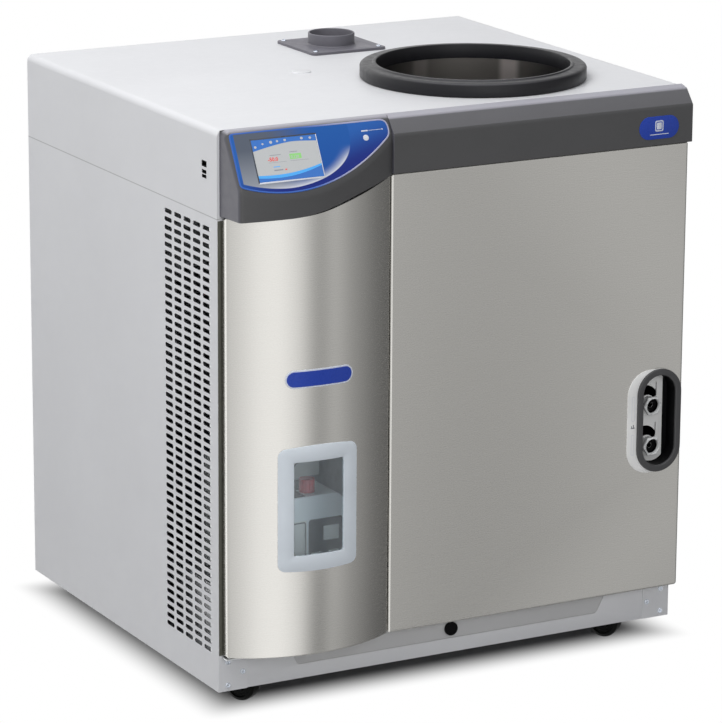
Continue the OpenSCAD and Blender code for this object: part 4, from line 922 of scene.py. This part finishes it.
def port():
    """The drain port: ring, label plate, bracket, cup and two hose fittings."""
    s = Mesh()
    s.relief(front(-26, *PORT), rr(80.5, 168, 40.2, 16), edge(3.5, 1.5, 5),
             holes=[rr(59.5, 147, 29.7, 16)])
    s.done("port_surround", "ring_plastic", nodes=["port_ring"])
    s = Mesh()
    s.relief(front(-25, PORT[0] - 8.8, PORT[1]), rr(98.1, 168, 40.2, 16), edge(1.0, 0.3, 2),
             holes=[[(u + 8.8, v) for u, v in rr(62, 149.5, 31, 14)]])
    s.done("port_plate", "label_plastic", nodes=["port_label"])
    s = Mesh()
    for cz, h in ((392, 40), (333, 34)):
        s.relief(front(-26, 716.5, cz), rr(5.5, h, 1.2, 2), [(0, 0), (0, 0.06)],
                 holes=[rr(4.3, h - 1.2, 0.6, 2)])
    s.done("port_frames", "silver_print", "label_plastic")
    s = Mesh()
    for u, v, w, h in ((0, -1, 8, 1.2), (1, 2, 1.3, 5), (-2.5, 1, 1.2, 3.2)):
        s.relief(front(-26, 716.5 + u, 362 + v), rr(w, h, 0.5, 1), [(0, 0), (0, 0.06)])
    s.done("port_marks", "dark_print", "label_plastic")
    s = Mesh()
    # the bracket has a bore for each fitting, and an arched opening above and left of it
    holes = []
    for z in FITTINGS:
        arc = [(17, 12), (17, 33.5), (15.2, 33.5), (15.2, 20.3)]
        arc += [(-4 + 23 * cos(radians(a)), 7.3 + 23 * sin(radians(a))) for a in range(35, 123, 4)]
        arc += [(-16.5, 26.6), (-16.5, -12)]
        arc += [(14 * cos(radians(a)), 14 * sin(radians(a))) for a in range(215, 29, -5)]
        for hole in (arc, disc(8.1)):
            holes.append([(u + FITTING_X, v + z) for u, v in hole])
    plate = [q for q in rr(56.5, 144, 28.2, 16) if q[0] < 19.8] + [(19.8, -63.9), (19.8, 63.9)]
    s.relief(front(-3.5), [(u + PORT[0], v + PORT[1]) for u, v in plate], [(0, 0), (0, 1.5)],
             holes=holes, back=True)
    s.done("port_sheet", "label_plastic", nodes=["port_bracket"], sharp=30)
    s = Mesh()
    rows = [(0, 26), (0, 6), (1, 4), (3, 3.5)]
    base = rr(59.4, 146.9, 29.6, 16)
    ids = s.loft([[front(0, *PORT)(u, v, h) for u, v in inset(base, d)] for d, h in rows])
    s.cap((inset(base, 3), ids[-1]))
    ids2 = s.loft([[front(0, *PORT)(u, v, h) for u, v in rr(61.5, 149, 30.7, 16)]
                   for h in (26, 2)])
    s.strip(ids2[0], ids[0])
    s.cap((rr(61.5, 149, 30.7, 16), ids2[-1]))
    s.done("port_cup", "black_plastic", nodes=["port_recess"])
    s = Mesh()
    for z in FITTINGS:
        pl = front(0, FITTING_X, z)
        hexa = [(16.5 * cos(k * pi / 3), 16.5 * sin(k * pi / 3)) for k in range(6)]
        s.lathe([(8, -3), (8, 5), (12.5, 5), (12.5, 18.6)], pl, 40)
        s.relief(pl, hexa, [(0.4, 18.2), (0, 18.6), (0, 22.4), (0.4, 23.2), (1.2, 23.8)],
                 holes=[disc(12.4, 40)])
        rim, neck = (s.loft([[pl(u, v, 18.2) for u, v in q]])[0]
                     for q in (inset(hexa, 0.4), disc(12.4, 40)))
        s.cap((inset(hexa, 0.4), rim), (disc(12.4, 40), neck))
        s.lathe([(13.2, 23.6), (13.0, 24.3), (12.6, 24.5), (12.2, 24.3), (12, 23.8), (12, 14), (4, 14),
                 (4, -3)], pl, 40)
    s.done("drain_nuts", "fitting_plastic", nodes=["drain_fittings"], sharp=50)
    # a black lining deep in each fitting's bore: painted shade, darkening the bore
    s = Mesh()
    for z in FITTINGS:
        s.lathe([(11.95, 17.5), (11.2, 17.5), (10.6, 14.6), (4.2, 14.3), (3.9, 13.5), (3.9, 4),
                 (0.01, 4)], front(0, FITTING_X, z), 40)
    s.done("bore_shade_linings", "black_plastic", sharp=15)


def tops():
    """What stands on the hood: collar, exhaust outlet and round plug."""
    cx, cy, ir, orr = 545.8, 195.7, 152.4, 178.0
    prof = [(ir, 901.9), (ir, 923.4), (ir + 0.35, 924.2), (ir + 1.2, 924.6), (ir + 4, 924.6),
            (ir + 4.9, 924.3), (ir + 5.6, 923.2), (ir + 6.3, 922.7), (ir + 7.4, 922.6),
            (orr - 7, 922.6), (orr - 4.5, 922.2), (orr - 2.4, 921.4), (orr - 0.8, 920.0),
            (orr, 918.0), (orr, 903.0), (orr - 0.4, 901.4), (orr - 1.5, 900.4)]
    s = Mesh()
    s.lathe([(r, z - TOP) for r, z in prof], top(TOP, cx, cy), 160)
    s.strip(list(range(160)), list(range(160 * 16, 160 * 17)))
    s.done("collar_ring", "collar_rubber", nodes=["collar"], sharp=60)
    s = Mesh()
    s.relief(top(TOP, *DUCT), rr(135, 132, 8, 8), edge(4.5, 1.0, 3),
             holes=[disc(37.6, 64)])
    s.lathe([(38, -12), (38, 4.5), (38, 22.0), (37.7, 23.0), (37.0, 23.5), (36.0, 23.5),
             (35.3, 23.0), (35, 22.2), (35, -12), (38, -12)], top(TOP, *DUCT), 96)
    s.lathe([(39.6, 4.4), (38.6, 4.9), (38, 6.0)], top(TOP, *DUCT), 96)
    s.done("exhaust_flange", "duct_plastic", nodes=["duct_outlet"])
    s = Mesh()
    s.lathe([(10.9, -8), (11, 0), (16, 0), (16, 1.0), (15.5, 1.7), (14.5, 2.0), (0.01, 2.0)],
            top(TOP, 323, 351), 56)
    s.done("plug_cap", "white_plastic", nodes=["top_plug"])


def cross(r, w):
    pts = []
    for k in range(4):
        a = k * pi / 2
        for u, v in ((r, -w), (r, w), (w, w)):
            pts.append((u * cos(a) - v * sin(a), u * sin(a) + v * cos(a)))
    return pts


def screws():
    s = Mesh()

    def head(pl, turn):
        c = [(u * cos(turn) - v * sin(turn), u * sin(turn) + v * cos(turn)) for u, v in cross(2.1, 0.5)]
        s.relief(pl, disc(4.2, 28), [(0, 0), (0, 0.9), (0.3, 1.5), (0.9, 1.95), (1.7, 2.2)],
                 holes=[c], hole_depth=0.9)
        s.lathe([(1.9, 0), (1.9, -8), (0.01, -9)], pl, 16)

    # three in each corner flange, then four in the exhaust outlet's plate
    for i, (x, z) in enumerate(((15.5, 47.5), (41, 28.5), (15.5, 10))):
        for k, xx in enumerate((x, 808 - x)):
            head(front(0, xx, 30 + z), 0.5 + i * 0.9 + k * 0.4)
    for i, (a, b) in enumerate(((-1, -1), (1, -1), (-1, 1), (1, 1))):
        head(top(TOP + 4.5, DUCT[0] + a * 57.5, DUCT[1] + b * 56), 0.3 + i * 0.7)
    s.done("screw_heads", "screw_steel", nodes=["small_screws"])


def kick_plate():
    """Pressed plate between the corner flanges: the middle of its upper part is set back."""
    s = Mesh()
    dip = [(136, 53.5), (673, 53.5), (691, 88.5)]

    def eased(pts, r):
        out = [pts[0]]
        for a, p, c in zip(pts, pts[1:], pts[2:]):
            a, p, c = Vector(a), Vector(p), Vector(c)
            p1, p2 = p + (a - p).normalized() * r, p + (c - p).normalized() * r
            out += [tuple(p1 * (1 - q) ** 2 + p * 2 * q * (1 - q) + p2 * q * q)
                    for q in [k / 5 for k in range(6)]]
        return out + [pts[-1]]

    line = eased([(118, 88.5)] + dip, 5)
    body = [(1.5, 30.5), (806.5, 30.5), (806.5, 88.5)] + line[::-1] + [(1.5, 88.5)]
    pl = front(3)
    s.relief(pl, body, [(0, 0), (0, 0.9), (0.25, 1.35), (0.6, 1.5)], back=True)
    s.done("kick_sheet", "cabinet_paint", nodes=["kick_plate"], sharp=50)
    # the set-back part is a darker grey: painted shade, as the door above shades it
    s = Mesh()
    ids = s.loft([[pl(u, v, h) for u, v in line] for h in (1.0, 0.3)], closed=False)
    s.cap((line, ids[-1]))
    s.done("kick_recess", "recess_painted_shade", "cabinet_paint")
    # a thin dark sheet on the side sheet's front return: painted shade standing for the gap beside the
    # pump door
    s = Mesh()
    s.box(0.9, 12, -0.3, 0, 89, 764)
    s.done("gap_shade_sheet", "gap_painted_shade", "collar_rubber")


def pump_plates():
    """Pale and dark plates on the pump's casing and block, seen through the window."""
    # each bit is x, z, width, height and corner radius
    for name, mat, base, bits in (
            ("pump_plate_side", "plate_pale", 0, ((156, 228, 30, 82, 3),)),
            ("pump_plate_rim", "plate_dark", 1, ((156, 228, 26, 78, 3),)),
            ("pump_plate_dark", "plate_dark", 0, ((204, 228, 59, 82, 5),)),
            ("pump_plate_note", "plate_pale", 1, ((213, 245, 27, 23, 1), (187, 209, 17, 15, 1),
                                                  (217, 209, 17, 15, 1)))):
        s = Mesh()
        for x, z, w, h, r in bits:
            hole = [rr(w - 3, h - 3, max(0.5, r - 1.5), 4)] if name == "pump_plate_rim" else []
            s.relief(front(PUMP_FRONT, x, z), rr(w, h, r, 4), edge(base + 1.0, 0.3, 2, base),
                     holes=hole)
        s.done(name, mat, "pump_paint")
    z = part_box("ballast_knob")[0][2] * 1000 + 6
    s = Mesh()
    s.relief(top(z), [(82, 44), (171, 44), (171, 80), (205, 80), (205, 128), (82, 128)],
             [(0, 0), (0, 0.5), (0.4, 0.9)])
    s.done("pump_plate_top", "wheel_rubber", "pump_paint")
    s = Mesh()
    s.relief(front(PUMP_FRONT + 93.7, 167, 322), rr(150, 27, 3, 4), edge(1.0, 0.3, 2))
    s.done("pump_plate_rear", "plate_pale", "pump_paint")


pump_door()
front_panel()
bezels()
control_face()
emblem()
window()
badge()
port()
tops()
screws()
kick_plate()
pump_plates()

# ---------------- CAD nodes

# width of the rounded edges in mm, and nodes with a finish of their own; hood and side sheets get the
# paint with painted shade in the slots
SOFT = {"hood": 0.8, "kick_plug": 1.0, "side_ports": 0.3, "power_inlet": 0.6, "pump_body": 1.5,
        "electrical_box": 0.8, "ballast_knob": 0.8}
OWN = {"pump_motor": "motor_paint", "hood": "side_paint_with_painted_shade", "left_side_panel": "side_paint_with_painted_shade",
       "right_side_panel": "side_paint_with_painted_shade"}
for n, o in NODES.items():
    for s in o.material_slots:
        key = (s.material.name if s.material else "").split(".")[0]
        if key in M:
            s.material = X.get(OWN.get(n)) or M[key]
    if n in SOFT:
        w = o.modifiers.new("join", "WELD")
        w.merge_threshold = 0.000005
        soften(o, SOFT[n], 2, 35)

# ---------------- stage, light, camera


def stage():
    me = bpy.data.meshes.new("floor")
    n, r = 96, 2.6
    pts = [(0, 0, 0)] + [(r * cos(i * 2 * pi / n), r * sin(i * 2 * pi / n), 0) for i in range(n)]
    me.from_pydata(pts, [], [(0, i + 1, (i + 1) % n + 1) for i in range(n)])
    o = bpy.data.objects.new("floor", me)
    S.collection.objects.link(o)
    m = bpy.data.materials.new("floor_white")
    m.use_nodes = True
    t = m.node_tree
    t.nodes.clear()
    out = node(t, "OutputMaterial")
    dif = node(t, "BsdfDiffuse")
    dif.inputs["Color"].default_value = (0.32, 0.32, 0.323, 1)
    # painted shadow: a near-black diffuse for the floor close to the cabinet
    painted_shade = node(t, "BsdfDiffuse")
    painted_shade.inputs["Color"].default_value = (0.06, 0.06, 0.061, 1)
    em = node(t, "Emission")
    clear = node(t, "BsdfTransparent")
    lp = node(t, "LightPath")
    at = spot(t)
    # how far a point lies outside the cabinet's footprint, in metres
    ax = calc(t, "SUBTRACT", calc(t, "ABSOLUTE", at[0]), 0.404)
    ay = calc(t, "SUBTRACT", calc(t, "ABSOLUTE", calc(t, "ADD", at[1], -0.0318)), 0.342)
    far = calc(t, "SMOOTH_MAX", ax, ay, 0.05)
    # under and near the footprint the camera sees the near-black diffuse, a painted shadow over its
    # real shading, which fades to white emission further out
    seen = mix(t, span(t, far, 0, 1, -0.060, 0.040, True), painted_shade.outputs[0], em.outputs[0])
    lit = mix(t, lp.outputs["Is Camera Ray"], dif.outputs[0], seen)
    link(t, mix(t, lp.outputs["Is Glossy Ray"], lit, clear.outputs[0]), out.inputs["Surface"])
    me.materials.append(m)


# brightness of the studio as polished surfaces see it, by azimuth from -Y towards +X:
# level with the horizon, and well below it
STUDIO = ((-180, 1.5), (-150, 1.9), (-115, 1.5), (-85, 1.1), (-55, 0.97), (-42, 1.08),
          (-20, 1.5), (-5, 1.55), (10, 1.15), (20, 0.68), (27, 0.70), (36, 0.88), (50, 0.55),
          (75, 0.28), (95, 0.18), (135, 0.6), (180, 1.5))
STUDIO_LOW = ((-180, 1.4), (-150, 1.8), (-115, 1.3), (-85, 0.95), (-55, 0.82), (-42, 0.9),
              (-20, 1.5), (-5, 1.6), (10, 1.3), (19, 0.60), (24, 0.26), (28, 0.34), (35, 0.72),
              (50, 0.48), (75, 0.23), (95, 0.15), (180, 1.4))


def world():
    w = bpy.data.worlds.new("studio")
    S.world = w
    w.use_nodes = True
    t = w.node_tree
    t.nodes.clear()
    out = node(t, "OutputWorld")
    way = apart(t, node(t, "TexCoord").outputs["Generated"])
    az = calc(t, "ARCTAN2", way[0], calc(t, "MULTIPLY", way[1], -1.0))
    turn = span(t, az, 0, 1, -pi, pi)
    seen = []
    for stops in (STUDIO, STUDIO_LOW):
        ramp = node(t, "ValToRGB")
        el = ramp.color_ramp.elements
        while len(el) < len(stops):
            el.new(0.5)
        for e, (p, v) in zip(el, stops):
            e.position = (p + 180) / 360
            e.color = (v, v, v, 1)
        link(t, turn, ramp.inputs[0])
        seen.append(ramp.outputs[0])
    down = span(t, way[2], 1, 0, -0.33, -0.21)
    up = span(t, way[2], 0, 1, 0.72, 1.0)
    both = tint(t, up, tint(t, down, *seen), (4.2, 4.2, 4.4))
    gl = node(t, "Background")
    link(t, both, gl.inputs["Color"])
    lit = node(t, "Background")
    lit.inputs["Color"].default_value = (0.97, 0.98, 1.0, 1)
    lit.inputs["Strength"].default_value = 0.36
    cam = node(t, "Background")
    cam.inputs["Color"].default_value = (1, 1, 1, 1)
    lp = node(t, "LightPath")
    around = mix(t, lp.outputs["Is Glossy Ray"], lit.outputs[0], gl.outputs[0])
    link(t, mix(t, lp.outputs["Is Camera Ray"], around, cam.outputs[0]), out.inputs["Surface"])


def lamp(name, where, to, size, watts):
    d = bpy.data.lights.new(name, "AREA")
    d.shape = "RECTANGLE"
    d.size, d.size_y = size
    d.energy = watts
    o = bpy.data.objects.new(name, d)
    S.collection.objects.link(o)
    o.location = where
    o.rotation_mode = "QUATERNION"
    o.rotation_quaternion = (Vector(to) - Vector(where)).to_track_quat("-Z", "Y")
    o.visible_glossy = False


def camera():
    d = bpy.data.cameras.new("camera")
    d.sensor_width = 36
    d.lens = 197.51
    d.clip_end = 100
    o = bpy.data.objects.new("camera", d)
    S.collection.objects.link(o)
    o.location = (-2.9371, -5.4111, 2.0648)
    az, tilt, roll = radians(28.553), radians(14.884), radians(0.338)
    back = Vector((-sin(az) * cos(tilt), -cos(az) * cos(tilt), sin(tilt)))
    o.rotation_mode = "QUATERNION"
    q = back.to_track_quat("Z", "Y")
    o.rotation_quaternion = q @ Matrix.Rotation(roll, 4, "Z").to_quaternion()
    S.camera = o


stage()
world()
camera()
lamp("key", (-2.0, -0.9, 3.1), (0, 0, 0.6), (1.8, 1.8), 50)
lamp("fill", (-1.0, -4.0, 1.6), (0, 0, 0.4), (2.4, 2.0), 34)
lamp("top", (-0.2, 0.4, 3.6), (0, 0, 0.9), (2.4, 2.4), 22)
S.view_settings.view_transform = "Standard"
